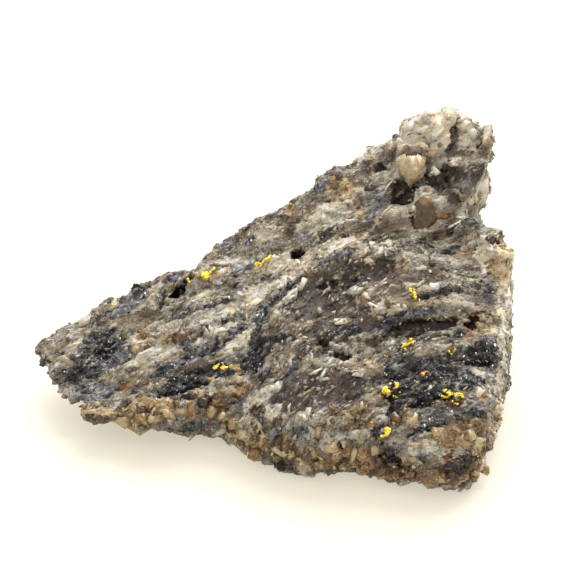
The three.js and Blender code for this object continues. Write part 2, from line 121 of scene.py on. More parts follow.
def cell_number(cell, seed):
    """A repeatable number from 0 to 1 for each whole-number cell."""
    mixed = (cell.astype(np.int64) & LOW_32_BITS) * LATTICE_PRIMES
    mixed = mixed[..., 0] ^ mixed[..., 1] ^ mixed[..., 2]
    mixed = (mixed ^ (seed * 40503 + 977)) & LOW_32_BITS
    mixed = ((mixed >> 15) ^ mixed) * 739982445 & LOW_32_BITS
    mixed = ((mixed >> 12) ^ mixed) * 695872825 & LOW_32_BITS
    mixed = (mixed >> 15) ^ mixed
    return (mixed & LOW_24_BITS) / float(LOW_24_BITS)


print("the number of cell 1, 2, 3:", round(float(cell_number(np.array([1, 2, 3]), 1)), 4))

# %% Clouds
FINER_SHARE = 0.55


def eased(value, low, high):
    """0 below low, 1 above high and a smooth curve between them."""
    t = np.clip((value - low) / (high - low), 0, 1)
    return t * t * (3 - 2 * t)


def cloud(points, size, seed):
    """Soft blotches as wide as size (mm, one number or one for each axis), from -1 to 1."""
    scaled = points / np.asarray(size, float)
    cell = np.floor(scaled)
    ease = eased(scaled - cell, 0, 1)
    total = np.zeros(len(points))
    for corner in np.ndindex(2, 2, 2):
        corner = np.array(corner)
        weight = np.prod(np.where(corner, ease, 1 - ease), axis=1)
        total += weight * cell_number(cell + corner, seed)
    return total * 2 - 1


def clouds(points, size, seed, layers=3):
    """Clouds with finer clouds on them, each half as wide and a little over half as strong."""
    size = np.asarray(size, float)
    total = np.zeros(len(points))
    for layer in range(layers):
        total += cloud(points, size / 2**layer, seed + layer) * FINER_SHARE**layer
    return total


print("a cloud at one point:", cloud(np.array([[1.2, 3.4, 5.6]]), 2.0, 1).round(4))

# %% Chips
# how far the centres keep from the walls of their cells, and how far chips step and tilt
CENTRE_MARGIN = 0.1
CHIP_STEP = 0.6
CHIP_TILT = 0.9


def chips(points, size, seed):
    """The chip each point belongs to: its number, from 0 to 1, and the way from its centre to the point."""
    scaled = points / np.asarray(size, float)
    home = np.floor(scaled)
    nearest = np.full(len(points), np.inf)
    number = np.zeros(len(points))
    offset = np.zeros((len(points), 3))
    for step in np.ndindex(3, 3, 3):
        cell = home + np.array(step) - 1
        jitter = np.stack([cell_number(cell, seed + axis) for axis in range(3)], axis=1)
        away = scaled - (cell + CENTRE_MARGIN + (1 - 2 * CENTRE_MARGIN) * jitter)
        distance = np.sqrt((away**2).sum(axis=1))
        closer = distance < nearest
        number = np.where(closer, cell_number(cell, seed + 7), number)
        offset = np.where(closer[:, None], away, offset)
        nearest = np.where(closer, distance, nearest)
    return number, offset


def chipped(points, size, seed):
    """Steps and tilted faces of chips, about -1 to 1."""
    number, offset = chips(points, size, seed)
    turn = number * 40.0
    tilt = offset[:, 0] * np.cos(turn) + offset[:, 1] * np.sin(turn) + offset[:, 2] * np.cos(turn * 1.7)
    return (number * 2 - 1) * CHIP_STEP + tilt * CHIP_TILT


print("a chip's height at one point:", chipped(np.array([[1.2, 3.4, 5.6]]), 2.0, 1).round(4))

# %% [markdown]
# ## The folded bands
# The quartz and the dark mineral lie in bands, as in a pile of paper that was pushed together. On the thin
# wing the bands rise straight to the right, and on the block they bend over in an arc. They could be painted
# one by one, but the eye also sees them in every ridge and streak. So two numbers say where a point is in
# them: how far along a band, and how far across the bands. Every pattern that follows is drawn in these
# numbers, and the streaks run with the bands everywhere, on the back and underneath too.

# %% Where a point is in the bands
BLOCK_MIDDLE = (9.28, -5.39)
BLOCK_HALF = (12.3, 12.6)
BLOCK_SQUARENESS = 2.6
BLOCK_REACH = 17
BANDS_START = (-0.28, 15.59)
WING_SLOPE = 0.53
BLOCK_SLOPE = 1.28
BLOCK_BEND = 0.0315
BLOCK_DROP = 3
BAND_SQUEEZE = 0.85
BAND_LEAN = 0.45


def in_bands(points):
    """Along, across and up in the bands, in mm, for points in mm."""
    x = points[:, 0]
    y = points[:, 1]
    away_x = np.abs((x - BLOCK_MIDDLE[0]) / BLOCK_HALF[0]) ** BLOCK_SQUARENESS
    away_y = np.abs((y - BLOCK_MIDDLE[1]) / BLOCK_HALF[1]) ** BLOCK_SQUARENESS
    block_depth = (1 - (away_x + away_y) ** (1 / BLOCK_SQUARENESS)) * BLOCK_HALF[0]
    band_x = x + BANDS_START[0]
    band_y = y + BANDS_START[1]
    on_wing = WING_SLOPE * band_x
    reach = np.clip(x - BLOCK_MIDDLE[0] + BLOCK_HALF[0], 0, BLOCK_REACH)
    on_block = BLOCK_SLOPE * reach - BLOCK_BEND * reach**2 - BLOCK_DROP
    share = eased(block_depth, -1, 1)
    across = BAND_SQUEEZE * (band_y - on_wing * (1 - share) - on_block * share)
    along = band_x + BAND_LEAN * band_y
    return np.stack([along, across, points[:, 2]], axis=1)


print("bands at the middle:", in_bands(np.zeros((1, 3))).round(2))

# %% [markdown]
# ## One fine skin of rock
# The CAD rock has facets about a millimetre wide, right for its size but too coarse to look at. Subdividing
# them would keep their pattern. So a copy gets plugs where the gold sits in its little pockets, and one
# voxel remesh wraps the lot in an even skin of small squares. Smoothing melts the old facets, and finer
# relief can be laid on.

# %% Plug the pockets of a copy of the rock
PLUG_MARGIN = 0.55
PLUG_SINK = 0.62

rock_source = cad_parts["quartz_matrix"]
gold_nodes = [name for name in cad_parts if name.startswith("gold")]
build = bmesh.new()
build.from_mesh(rock_source.data)
for name in gold_nodes:
    low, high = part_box(name)
    half = (high - low) / 2 + Vector((PLUG_MARGIN * MM,) * 3)
    middle = (high + low) / 2 - Vector((0, 0, PLUG_SINK * MM))
    plug = Matrix.Translation(middle) @ Matrix.Diagonal((*half, 1))
    bmesh.ops.create_icosphere(build, subdivisions=3, radius=1.0, matrix=plug)
rock_mesh = bpy.data.meshes.new("rock_plugged")
build.to_mesh(rock_mesh)
build.free()
print(len(gold_nodes), "pockets plugged")

# %% Wrap it in an even skin
SKIN_CELL = 0.215


def numbers_of(collection, field, width):
    """A mesh collection's values as a numpy array, one row for each element."""
    flat = np.zeros(len(collection) * width)
    collection.foreach_get(field, flat)
    return flat.reshape(-1, width)


def wrapped(mesh, cell_mm, name):
    """One even skin of quads round all that a mesh holds."""
    holder = bpy.data.objects.new(name + "_wrap", mesh)
    bpy.context.scene.collection.objects.link(holder)
    wrap = holder.modifiers.new("wrap", "REMESH")
    wrap.mode = "VOXEL"
    wrap.voxel_size = cell_mm * MM
    depsgraph = bpy.context.evaluated_depsgraph_get()
    even_skin = bpy.data.meshes.new_from_object(holder.evaluated_get(depsgraph))
    bpy.data.objects.remove(holder)
    even_skin.name = name
    return even_skin


skin = wrapped(rock_mesh, SKIN_CELL, "quartz_rock")
skin_points = numbers_of(skin.vertices, "co", 3) / MM
links = numbers_of(skin.edges, "vertices", 2).astype(int)
print("skin:", len(skin_points), "points,", len(skin.polygons), "faces")

# %% Melt the old facets
MELT_PASSES = 9


def smoothed(points, links, passes, share=0.5):
    """Points moved towards the mean of their neighbours, several times."""
    count = len(points)
    degree = np.bincount(links.ravel(), minlength=count)[:, None]
    for _ in range(passes):
        total = np.zeros_like(points)
        for axis in range(3):
            total[:, axis] += np.bincount(links[:, 0], points[links[:, 1], axis], count)
            total[:, axis] += np.bincount(links[:, 1], points[links[:, 0], axis], count)
        points = points + share * (total / degree - points)
    return points


def move_points(mesh, points):
    """Puts the mesh's points at these places in mm."""
    mesh.vertices.foreach_set("co", (points * MM).ravel())
    mesh.update()


facetted = skin_points
skin_points = smoothed(skin_points, links, MELT_PASSES)
move_points(skin, skin_points)
print("points moved by up to", np.abs(skin_points - facetted).max().round(2), "mm")

# %% [markdown]
# ## Painting on the rock
# The larger dark, pale, smoky and rusty patches have their own places. A texture map could hold them, but it
# would be an image. Here each patch is a stroke, given by where its middle lies in the camera's view, its
# length, width and slope. A ray from the camera finds where each step of the stroke lands on the rock. From
# there on the stroke is a chain of balls in space, so it sits on the stone from any side.

# %% Find the point of the rock that the camera sees
def rock_tree(mesh):
    """A search tree of the mesh for rays."""
    corners = [vertex.co for vertex in mesh.vertices]
    faces = [tuple(face.vertices) for face in mesh.polygons]
    return BVHTree.FromPolygons(corners, faces)


def seen_at(tree, vx, vy):
    """The point in mm that the camera sees at vx dots from the left, vy from the top, and its normal."""
    focal = CAMERA_DISTANCE * VIEW_DOTS / VIEW_WIDTH
    aside = vx - VIEW_DOTS / 2
    above = VIEW_DOTS / 2 - vy
    ray = look * focal + view_right * aside + view_up * above
    place, normal, _, _ = tree.ray_cast(Vector(eye * MM), Vector(ray).normalized())
    if place is None:
        return None, None
    return np.array(place) / MM, np.array(normal)


middle_of_view, _ = seen_at(rock_tree(skin), VIEW_DOTS / 2, VIEW_DOTS / 2)
print("the middle of the view falls on", middle_of_view.round(2), "mm")

# %% Nudge the outline
# vx, vy and reach in dots, then the shift to the right and up in mm
NUDGES = [
    (505, 455, 50, -1.3, 0.0), (507, 418, 32, -0.40, 0.0), (502, 236, 26, -0.35, -0.95),
    (380, 138, 26, 0.25, -0.35), (490, 212, 22, -0.35, 0.0), (393, 130, 20, 0.3, -0.3),
    (40, 374, 20, 0.3, 0.1),
]
for vx, vy, reach, right, up in NUDGES:
    aside = (skin_points - AIM) @ view_right - (vx - VIEW_DOTS / 2) * DOT
    above = (skin_points - AIM) @ view_up - (VIEW_DOTS / 2 - vy) * DOT
    near = 1 - np.hypot(aside, above) / (reach * DOT)
    skin_points += eased(near, 0, 1)[:, None] * (view_right * right + view_up * up)
move_points(skin, skin_points)
smooth_tree = rock_tree(skin)
print(len(NUDGES), "places nudged")

# %% Lay a stroke on the rock
STROKE_STEP = 4
TAPER = 0.45


def laid(stroke):
    """The balls (middles and radii in mm) of a stroke: vx, vy, length, width in dots, slope in degrees."""
    vx, vy, length, width, slope = stroke
    count = max(1, int(length / STROKE_STEP))
    places = []
    radii = []
    for step in range(count):
        t = 0 if count == 1 else 2 * step / (count - 1) - 1
        reach = t * max(0, length - width) / 2
        x = vx + reach * math.cos(math.radians(slope))
        y = vy - reach * math.sin(math.radians(slope))
        place, _ = seen_at(smooth_tree, x, y)
        if place is None:
            continue
        places.append(place)
        radii.append(width / 2 * DOT * (1 - TAPER * t * t))
    return np.array(places).reshape(-1, 3), np.array(radii)


def painted(points, strokes):
    """How deep each point lies in the strokes: 1 in their middle, 0 at their edge, negative outside."""
    depth = np.full(len(points), -1.0)
    for stroke in strokes:
        places, radii = laid(stroke)
        if not len(places):
            continue
        reach = 2 * radii.max()
        near = np.all((points > places.min(axis=0) - reach) & (points < places.max(axis=0) + reach), axis=1)
        near = np.flatnonzero(near)
        away = np.sqrt(((points[near, None] - places[None]) ** 2).sum(axis=2))
        inside = (1 - away / radii).max(axis=1)
        depth[near] = np.maximum(depth[near], inside)
    return np.clip(depth, -1, 1)


test_depth = painted(skin_points, [(287, 287, 40, 10, 0)])
print("a stroke 40 dots long covers", int((test_depth > 0).sum()), "points of the skin")

# %% [markdown]
# ## Where the minerals lie
# Five kinds of ground make up the look: milky quartz, smoky see-through quartz, dark fine-grained sulphide,
# honey-coloured sugary quartz along the broken lower edge, and rust. Each stroke names its ground and its
# tone, from 0 for black to 1 for cream, and may raise or sink the rock. The strokes that sink deep hollows
# have dark tones, down to near black, so the hollows' shade is partly painted into the colour. Strokes are
# laid one over another, large ones first, and streaky noise frays their edges. Noise alone could fill the
# whole stone, and where no stroke falls, on the back and underneath, it does. But the front has patches that
# anyone who knows the stone would look for.

# %% Strokes on the wing
# ground, tone, vx, vy, length and width in dots, slope in degrees, and if need be the lift in mm
WING_TIP = [
    ("smoke", 0.52, 56, 350, 46, 36, 20), ("smoke", 0.66, 67, 361, 24, 20, -60),
    ("milk", 0.62, 82, 326, 54, 12, 28), ("dark", 0.25, 46, 361, 16, 8, 0),
    ("dark", 0.22, 61, 353, 16, 5, 5), ("dark", 0.22, 98, 317, 28, 8, 55),
    ("dark", 0.42, 130, 302, 62, 26, 30), ("dark", 0.20, 108, 303, 10, 9, 60),
    ("honey", 0.85, 115, 304, 12, 9, 60), ("dark", 0.12, 137, 287, 16, 6, 0, 0.15),
    ("milk", 0.72, 155, 298, 34, 12, 70, 0.2), ("dark", 0.15, 163, 298, 22, 6, 75, -0.2),
    ("dark", 0.35, 173, 278, 32, 14, 20), ("dark", 0.04, 178, 290, 24, 11, 35, -0.6),
    ("dark", 0.10, 188, 280, 20, 8, 45, -0.2), ("milk", 0.70, 170, 296, 8, 8, 0),
    ("dark", 0.10, 170, 303, 10, 5, 20), ("dark", 0.40, 104, 364, 96, 66, 50),
    ("dark", 0.23, 103, 344, 60, 42, 35), ("dark", 0.24, 78, 372, 44, 14, 35),
    ("dark", 0.42, 92, 393, 54, 22, 5), ("milk", 0.54, 112, 376, 44, 12, 20),
    ("dark", 0.04, 103, 352, 15, 6, 10, -0.4), ("dark", 0.06, 124, 364, 10, 7, 20, -0.3),
    ("milk", 0.72, 87, 362, 22, 4, 60), ("milk", 0.74, 116, 405, 16, 5, 60),
    ("honey", 0.60, 122, 385, 20, 12, 30), ("dark", 0.26, 134, 389, 22, 11, 30),
    ("dark", 0.26, 128, 404, 14, 9, 30), ("milk", 0.52, 132, 330, 54, 16, 15),
    ("honey", 0.42, 142, 335, 18, 12, 30), ("smoke", 0.34, 152, 314, 34, 8, 10),
    ("milk", 0.74, 172, 326, 34, 14, 10), ("milk", 0.92, 141, 358, 40, 12, 38, 0.15),
    ("milk", 0.62, 159, 351, 26, 10, 40), ("dark", 0.33, 187, 343, 26, 14, 30),
    ("milk", 0.70, 205, 318, 64, 20, 15), ("milk", 0.80, 222, 308, 30, 8, 25),
]
WING_BANDS = [
    ("dark", 0.30, 160, 371, 46, 14, 20), ("dark", 0.36, 192, 357, 66, 15, 24),
    ("dark", 0.28, 226, 342, 52, 11, 27), ("milk", 0.92, 212, 335, 66, 8, 27),
    ("dark", 0.20, 195, 376, 84, 18, 20), ("dark", 0.06, 182, 390, 62, 12, 15, -0.4),
    ("dark", 0.08, 188, 398, 30, 10, 15, -0.2), ("dark", 0.22, 226, 374, 26, 10, 10),
    ("milk", 0.52, 148, 372, 30, 8, 20), ("honey", 0.82, 243, 365, 26, 18, 60),
    ("honey", 0.76, 240, 392, 34, 18, 30), ("milk", 0.92, 246, 338, 54, 17, 30),
]
WING_EDGE = [
    ("honey", 0.90, 245, 438, 64, 30, -28), ("honey", 0.84, 96, 412, 46, 14, -8),
    ("honey", 0.90, 150, 410, 70, 28, 0), ("honey", 0.50, 143, 421, 20, 15, 0, 0.2),
    ("honey", 0.84, 166, 412, 30, 18, 0), ("rust", 0.34, 175, 402, 18, 10, -50),
    ("honey", 0.76, 190, 411, 20, 16, 0), ("honey", 0.46, 216, 400, 54, 22, 10),
    ("honey", 0.80, 200, 394, 20, 8, 40), ("honey", 0.78, 222, 418, 34, 14, -20),
    ("dark", 0.10, 228, 430, 12, 12, 0), ("milk", 1.0, 235, 422, 10, 10, 0, 0.2),
    ("honey", 0.92, 243, 435, 17, 12, 0, 0.3), ("honey", 0.90, 255, 448, 18, 16, 0, 0.1),
    ("smoke", 0.30, 245, 402, 22, 14, 0), ("smoke", 0.30, 242, 386, 20, 6, 0),
]
WING_TOP = [
    ("milk", 0.92, 372, 150, 66, 28, 30), ("smoke", 0.58, 207, 262, 36, 12, 20),
    ("honey", 0.60, 200, 273, 18, 16, 0), ("milk", 0.92, 220, 276, 26, 16, 40),
    ("dark", 0.56, 241, 268, 44, 16, 32), ("dark", 0.20, 237, 285, 13, 6, 30, -0.1),
    ("honey", 0.30, 225, 295, 10, 9, 0), ("milk", 0.72, 206, 300, 54, 18, 20),
    ("milk", 0.94, 265, 289, 76, 20, 20), ("milk", 0.95, 244, 304, 60, 18, 25),
    ("milk", 0.98, 276, 264, 54, 22, 15), ("milk", 0.94, 296, 264, 12, 8, 0),
    ("smoke", 0.52, 303, 246, 30, 9, 20), ("dark", 0.04, 297, 254, 22, 9, 15, -0.7),
    ("smoke", 0.60, 262, 235, 56, 26, 30), ("dark", 0.36, 249, 241, 22, 14, 30),
    ("smoke", 0.26, 240, 248, 9, 8, 0), ("dark", 0.50, 276, 242, 16, 8, 0),
    ("dark", 0.28, 275, 217, 10, 5, 0), ("dark", 0.36, 226, 247, 12, 14, 0),
    ("smoke", 0.34, 234, 237, 6, 6, 0), ("dark", 0.50, 303, 236, 20, 16, 30),
    ("dark", 0.10, 307, 222, 16, 7, 0, -0.2), ("dark", 0.20, 319, 222, 8, 6, 0),
    ("dark", 0.06, 346, 236, 16, 5, 10, -0.3), ("dark", 0.18, 318, 238, 10, 5, 0, -0.1),
    ("honey", 0.48, 292, 208, 30, 8, 60), ("milk", 0.80, 326, 216, 84, 34, 28),
    ("milk", 0.90, 325, 209, 15, 10, 0), ("milk", 0.82, 345, 195, 14, 8, 0),
    ("dark", 0.40, 335, 182, 34, 16, 20), ("dark", 0.34, 320, 190, 16, 14, 0),
    ("dark", 0.28, 333, 201, 22, 6, 5), ("milk", 0.84, 326, 226, 26, 9, 20),
    ("milk", 0.80, 348, 222, 24, 8, 20), ("smoke", 0.48, 355, 178, 40, 26, 30),
    ("smoke", 0.44, 354, 205, 16, 14, 0), ("milk", 0.95, 338, 246, 54, 18, 28),
    ("milk", 0.80, 318, 243, 20, 10, 0), ("honey", 0.66, 340, 190, 12, 30, 60),
]
WING = WING_TIP + WING_BANDS + WING_EDGE + WING_TOP
print(len(WING), "strokes on the wing")

# %% Strokes on the peak and the hollow under it
HOLLOW_UNDER_PEAK = [
    ("smoke", 0.36, 366, 162, 16, 12, 20), ("smoke", 0.08, 379, 168, 15, 13, 20, -0.6),
    ("milk", 0.80, 390, 172, 64, 7, 62), ("dark", 0.50, 381, 200, 58, 18, 50),
    ("dark", 0.44, 371, 219, 20, 10, 60), ("milk", 0.84, 368, 233, 44, 6, 50, 0.1),
    ("smoke", 0.20, 404, 194, 38, 32, -20, -0.4), ("smoke", 0.10, 414, 186, 12, 7, -40, -0.2),
    ("smoke", 0.10, 442, 188, 50, 15, -35, -0.3), ("smoke", 0.56, 397, 222, 46, 30, -10, 0.3),
    ("milk", 0.84, 390, 211, 34, 4, 35, 0.1), ("honey", 0.40, 396, 233, 16, 5, -40),
    ("smoke", 0.46, 448, 215, 18, 10, 0), ("honey", 0.22, 446, 232, 38, 12, 20),
    ("rust", 0.03, 424, 238, 24, 9, 15, -0.4), ("honey", 0.34, 427, 215, 36, 26, 85),
    ("smoke", 0.10, 413, 221, 28, 5, -70, -0.15), ("dark", 0.30, 453, 226, 28, 8, 25),
    ("milk", 0.96, 460, 218, 10, 5, 20), ("dark", 0.24, 470, 222, 15, 11, 10, 0.2),
    ("honey", 0.76, 472, 236, 34, 8, 20), ("dark", 0.24, 448, 248, 26, 9, 15),
    ("milk", 0.44, 412, 250, 46, 14, -22), ("milk", 0.80, 414, 246, 44, 4, -25, 0.15),
    ("honey", 0.58, 466, 250, 22, 12, 20),
]
PEAK = [
    ("smoke", 0.86, 430, 122, 80, 30, -5), ("smoke", 0.80, 412, 138, 58, 26, 30),
    ("smoke", 0.88, 472, 124, 44, 22, -35), ("smoke", 0.88, 440, 138, 40, 30, 60, 0.2),
    ("milk", 0.64, 415, 123, 18, 8, 30), ("smoke", 0.70, 430, 112, 18, 7, -10),
    ("smoke", 0.50, 391, 150, 20, 16, 60, 0.3), ("smoke", 0.46, 410, 151, 26, 15, 10, 0.2),
    ("smoke", 1.0, 424, 130, 14, 9, 20), ("milk", 0.95, 437, 131, 26, 12, 70, 0.3),
    ("milk", 0.95, 422, 146, 15, 9, 0, 0.3), ("smoke", 0.62, 436, 153, 34, 12, 10, 0.15),
    ("smoke", 0.32, 455, 133, 34, 11, 80, -0.3), ("smoke", 0.24, 451, 150, 18, 15, 60, -0.2),
    ("smoke", 0.86, 468, 138, 30, 16, 60, 0.25), ("smoke", 0.34, 466, 155, 26, 14, 0),
    ("smoke", 0.16, 455, 173, 46, 20, 8, -0.2), ("smoke", 0.26, 478, 178, 24, 14, 60),
    ("smoke", 0.32, 468, 190, 26, 14, 0), ("smoke", 0.26, 452, 198, 30, 12, -20),
    ("smoke", 0.80, 414, 168, 40, 36, 88, 0.3), ("milk", 0.84, 398, 172, 34, 7, 65, 0.2),
    ("milk", 0.92, 453, 163, 12, 6, -5, 0.3), ("milk", 0.95, 434, 172, 14, 9, -50, 0.3),
    # near black below the crest: painted shade between the plates, which are sunk a little too
    ("smoke", 0.03, 452, 176, 50, 28, -10, -0.4), ("smoke", 0.08, 474, 174, 34, 26, 20, -0.2),
    ("smoke", 0.92, 484, 188, 56, 14, 80, 0.1), ("milk", 0.86, 490, 165, 44, 9, 85),
    ("smoke", 0.72, 471, 201, 13, 12, 0, 0.3), ("smoke", 0.62, 489, 138, 40, 18, 86, 0.3),
    ("dark", 0.12, 479, 147, 10, 8, 60, -0.3), ("milk", 0.95, 366, 152, 48, 16, 28),
    ("smoke", 0.56, 379, 155, 12, 10, 0, 0.1), ("milk", 0.95, 388, 141, 26, 9, 40),
    ("smoke", 0.70, 396, 160, 26, 8, 60),
]
print(len(HOLLOW_UNDER_PEAK + PEAK), "strokes on the peak")

# %% Strokes on the upper half of the block
BLOCK_TOP_LEFT = [
    ("smoke", 0.17, 320, 300, 110, 50, 20), ("smoke", 0.17, 345, 325, 110, 36, 10),
    ("dark", 0.34, 285, 290, 54, 13, 42), ("dark", 0.30, 254, 345, 84, 18, 70),
    ("dark", 0.28, 262, 312, 44, 15, 45), ("dark", 0.36, 240, 326, 40, 10, 30),
    ("dark", 0.36, 330, 262, 66, 11, 28), ("dark", 0.42, 346, 252, 40, 8, 28),
    ("milk", 0.82, 291, 295, 46, 8, 46, 0.2), ("milk", 0.74, 274, 318, 22, 7, 60),
    ("milk", 0.70, 322, 267, 50, 3, 25), ("honey", 0.46, 307, 273, 16, 9, 10),
    ("smoke", 0.30, 330, 271, 60, 12, 15), ("smoke", 0.03, 329, 285, 28, 9, 20, -0.5),
    ("smoke", 0.03, 346, 279, 26, 9, 5, -0.4), ("smoke", 0.13, 367, 272, 64, 26, 10, -0.2),
    ("smoke", 0.08, 387, 265, 26, 16, 30, -0.2), ("smoke", 0.28, 345, 305, 44, 7, -5),
    ("milk", 0.66, 345, 321, 26, 10, 10), ("milk", 0.88, 326, 292, 12, 6, 25, 0.1),
    ("milk", 0.92, 352, 293, 26, 6, 10, 0.1), ("milk", 0.88, 366, 297, 11, 9, 0),
    ("milk", 0.85, 365, 284, 6, 6, 0, 0.1), ("smoke", 0.42, 278, 326, 34, 10, 30),
    ("milk", 0.64, 285, 312, 24, 8, 45), ("dark", 0.22, 346, 331, 44, 12, 5),
    ("smoke", 0.02, 322, 342, 22, 15, 0, -0.8), ("dark", 0.26, 329, 352, 24, 8, 0),
    ("smoke", 0.05, 343, 357, 24, 12, 0, -0.6), ("milk", 0.88, 335, 345, 24, 4, -10),
    ("milk", 0.82, 346, 345, 12, 8, 0), ("milk", 0.76, 358, 336, 22, 6, 20),
    ("smoke", 0.32, 388, 292, 48, 26, 10), ("milk", 0.82, 386, 311, 48, 6, 5, 0.10),
    ("dark", 0.08, 388, 316, 30, 3, 5, -0.1), ("honey", 0.74, 377, 318, 22, 9, 0),
    ("dark", 0.26, 375, 297, 14, 8, 0), ("smoke", 0.30, 366, 318, 20, 16, 0),
]
BLOCK_TOP_RIGHT = [
    ("milk", 1.0, 488, 250, 44, 34, 60), ("smoke", 0.33, 430, 272, 100, 26, 8),
    ("milk", 0.60, 455, 264, 50, 12, 5), ("milk", 0.86, 420, 268, 18, 6, 0),
    ("milk", 0.82, 437, 286, 15, 10, 0), ("milk", 0.74, 414, 284, 22, 6, 0),
    ("dark", 0.26, 438, 294, 64, 8, 10), ("dark", 0.30, 470, 287, 44, 7, 10),
    ("dark", 0.28, 490, 291, 22, 12, 80), ("dark", 0.08, 489, 275, 22, 3, 32),
    ("smoke", 0.54, 457, 302, 44, 10, 5), ("smoke", 0.46, 472, 299, 20, 8, 0),
    ("dark", 0.34, 410, 314, 76, 12, 10), ("dark", 0.24, 390, 328, 40, 14, 0),
    ("smoke", 0.05, 425, 326, 78, 21, 6, -0.8), ("honey", 0.34, 478, 312, 26, 10, 10),
    ("rust", 0.07, 474, 322, 24, 12, 25, -0.6), ("honey", 0.72, 486, 330, 14, 8, 0),
    ("rust", 0.55, 470, 335, 16, 9, 0), ("dark", 0.14, 460, 332, 14, 14, 0),
    ("smoke", 0.14, 438, 339, 66, 12, 5), ("milk", 0.54, 445, 349, 56, 8, 8),
    ("milk", 0.60, 424, 353, 34, 7, 5), ("milk", 0.84, 390, 342, 20, 7, 0),
    ("milk", 0.82, 385, 352, 26, 6, 10), ("smoke", 0.16, 375, 343, 32, 13, 0, -0.2),
    ("honey", 0.78, 370, 360, 26, 12, 10), ("milk", 0.60, 366, 350, 16, 8, 30),
    ("honey", 0.74, 388, 250, 20, 6, 10), ("milk", 0.95, 385, 244, 22, 12, 20, 0.2),
    ("milk", 0.90, 374, 251, 26, 9, -10, 0.1), ("honey", 0.74, 369, 262, 18, 7, 20),
    ("honey", 0.36, 402, 263, 16, 14, 0), ("smoke", 0.26, 491, 239, 15, 12, -50),
    ("milk", 0.95, 482, 250, 30, 18, 68, 0.1), ("smoke", 0.15, 474, 252, 18, 3, 65),
    ("milk", 0.86, 470, 244, 24, 6, 30, 0.1), ("honey", 0.74, 500, 264, 40, 26, -65),
    ("milk", 0.95, 491, 252, 20, 12, -30, 0.25), ("smoke", 0.18, 498, 243, 14, 5, -60, -0.2),
    ("milk", 1.0, 487, 262, 28, 9, 64, 0.1),
]
print(len(BLOCK_TOP_LEFT + BLOCK_TOP_RIGHT), "strokes on the upper block")

# %% Strokes on the lower half of the block
DARK_MASS = [
    ("dark", 0.20, 400, 367, 46, 18, 5), ("dark", 0.13, 397, 376, 34, 8, 0, -0.2),
    ("dark", 0.40, 397, 368, 18, 8, 0, 0.1), ("dark", 0.34, 440, 362, 66, 11, 5),
    ("dark", 0.25, 432, 372, 90, 13, 0), ("dark", 0.12, 480, 354, 42, 28, 15),
    ("dark", 0.28, 485, 344, 22, 12, 40, 0.1), ("dark", 0.04, 480, 363, 34, 6, 0, -0.3),
    ("dark", 0.13, 416, 381, 80, 10, 5), ("dark", 0.20, 458, 378, 56, 11, 5),
    ("dark", 0.22, 395, 392, 40, 20, 20), ("dark", 0.20, 430, 393, 66, 14, 12),
    ("milk", 0.74, 430, 388, 15, 6, 20), ("dark", 0.30, 420, 391, 40, 6, 15, 0.1),
    ("dark", 0.04, 424, 402, 78, 10, 15, -0.4), ("dark", 0.20, 400, 403, 34, 14, 30),
    ("dark", 0.09, 392, 415, 22, 14, 50, -0.2), ("dark", 0.16, 474, 384, 36, 14, 10),
    ("dark", 0.42, 474, 408, 38, 18, 8, 0.15), ("dark", 0.50, 472, 406, 16, 8, 20),
    ("dark", 0.08, 478, 418, 32, 4, 5, -0.1), ("milk", 0.95, 460, 407, 36, 7, 40, 0.15),
    ("honey", 0.66, 484, 394, 26, 14, 50), ("rust", 0.34, 452, 405, 28, 8, 10),
    ("dark", 0.38, 440, 412, 54, 14, 10), ("dark", 0.27, 434, 427, 44, 12, 20),
    ("dark", 0.50, 409, 441, 56, 13, 10), ("milk", 0.90, 425, 433, 18, 8, 30),
    ("dark", 0.06, 413, 432, 26, 3, 35), ("honey", 0.76, 413, 420, 18, 16, 0, 0.15),
    ("dark", 0.10, 379, 431, 28, 12, 10, -0.2), ("milk", 0.55, 392, 442, 20, 8, 0),
    ("smoke", 0.56, 372, 403, 34, 26, 70), ("honey", 0.62, 366, 410, 16, 14, 0),
    ("dark", 0.08, 361, 395, 10, 5, 80), ("dark", 0.26, 372, 378, 26, 10, 20),
    ("milk", 0.72, 380, 420, 16, 10, 0),
]
BLOCK_LOWER_LEFT = [
    ("smoke", 0.18, 320, 388, 110, 50, 12), ("dark", 0.17, 259, 356, 52, 26, 80),
    ("dark", 0.19, 270, 341, 54, 12, 8), ("dark", 0.30, 266, 377, 26, 16, 60),
    ("smoke", 0.26, 302, 350, 30, 22, 30), ("milk", 0.82, 311, 357, 18, 5, -60),
    ("milk", 0.76, 284, 365, 34, 4, 20), ("milk", 0.72, 318, 361, 42, 4, -12, 0.1),
    ("milk", 0.76, 345, 370, 42, 5, -18, 0.15), ("milk", 0.88, 360, 373, 18, 10, -20, 0.2),
    ("smoke", 0.16, 310, 377, 74, 12, 5), ("smoke", 0.13, 330, 393, 84, 20, 12),
    ("smoke", 0.19, 300, 401, 54, 20, 20), ("smoke", 0.44, 338, 373, 36, 8, -10),
    ("milk", 0.84, 320, 379, 18, 4, 0), ("milk", 0.76, 305, 392, 22, 5, 20),
    ("milk", 0.86, 318, 402, 10, 5, 0), ("milk", 1.0, 315, 372, 7, 7, 0, 0.1),
    ("milk", 0.88, 262, 396, 58, 19, 35, 0.1), ("milk", 0.80, 273, 413, 26, 18, 80),
    ("honey", 0.40, 256, 411, 22, 14, 0), ("milk", 0.50, 285, 416, 18, 8, 0),
    ("dark", 0.44, 292, 431, 54, 14, 5), ("milk", 0.58, 302, 417, 22, 12, 0, 0.15),
    ("milk", 0.58, 327, 420, 28, 9, 5, 0.15), ("milk", 0.58, 346, 422, 22, 7, 0),
    ("dark", 0.18, 312, 416, 10, 7, 0), ("smoke", 0.30, 346, 405, 54, 16, 5),
    ("milk", 0.72, 332, 434, 40, 9, 8), ("milk", 0.76, 352, 436, 74, 9, 10, 0.1),
    ("dark", 0.22, 377, 428, 22, 8, 25), ("milk", 0.62, 300, 440, 60, 8, 0),
]
print(len(DARK_MASS + BLOCK_LOWER_LEFT), "strokes on the lower block")

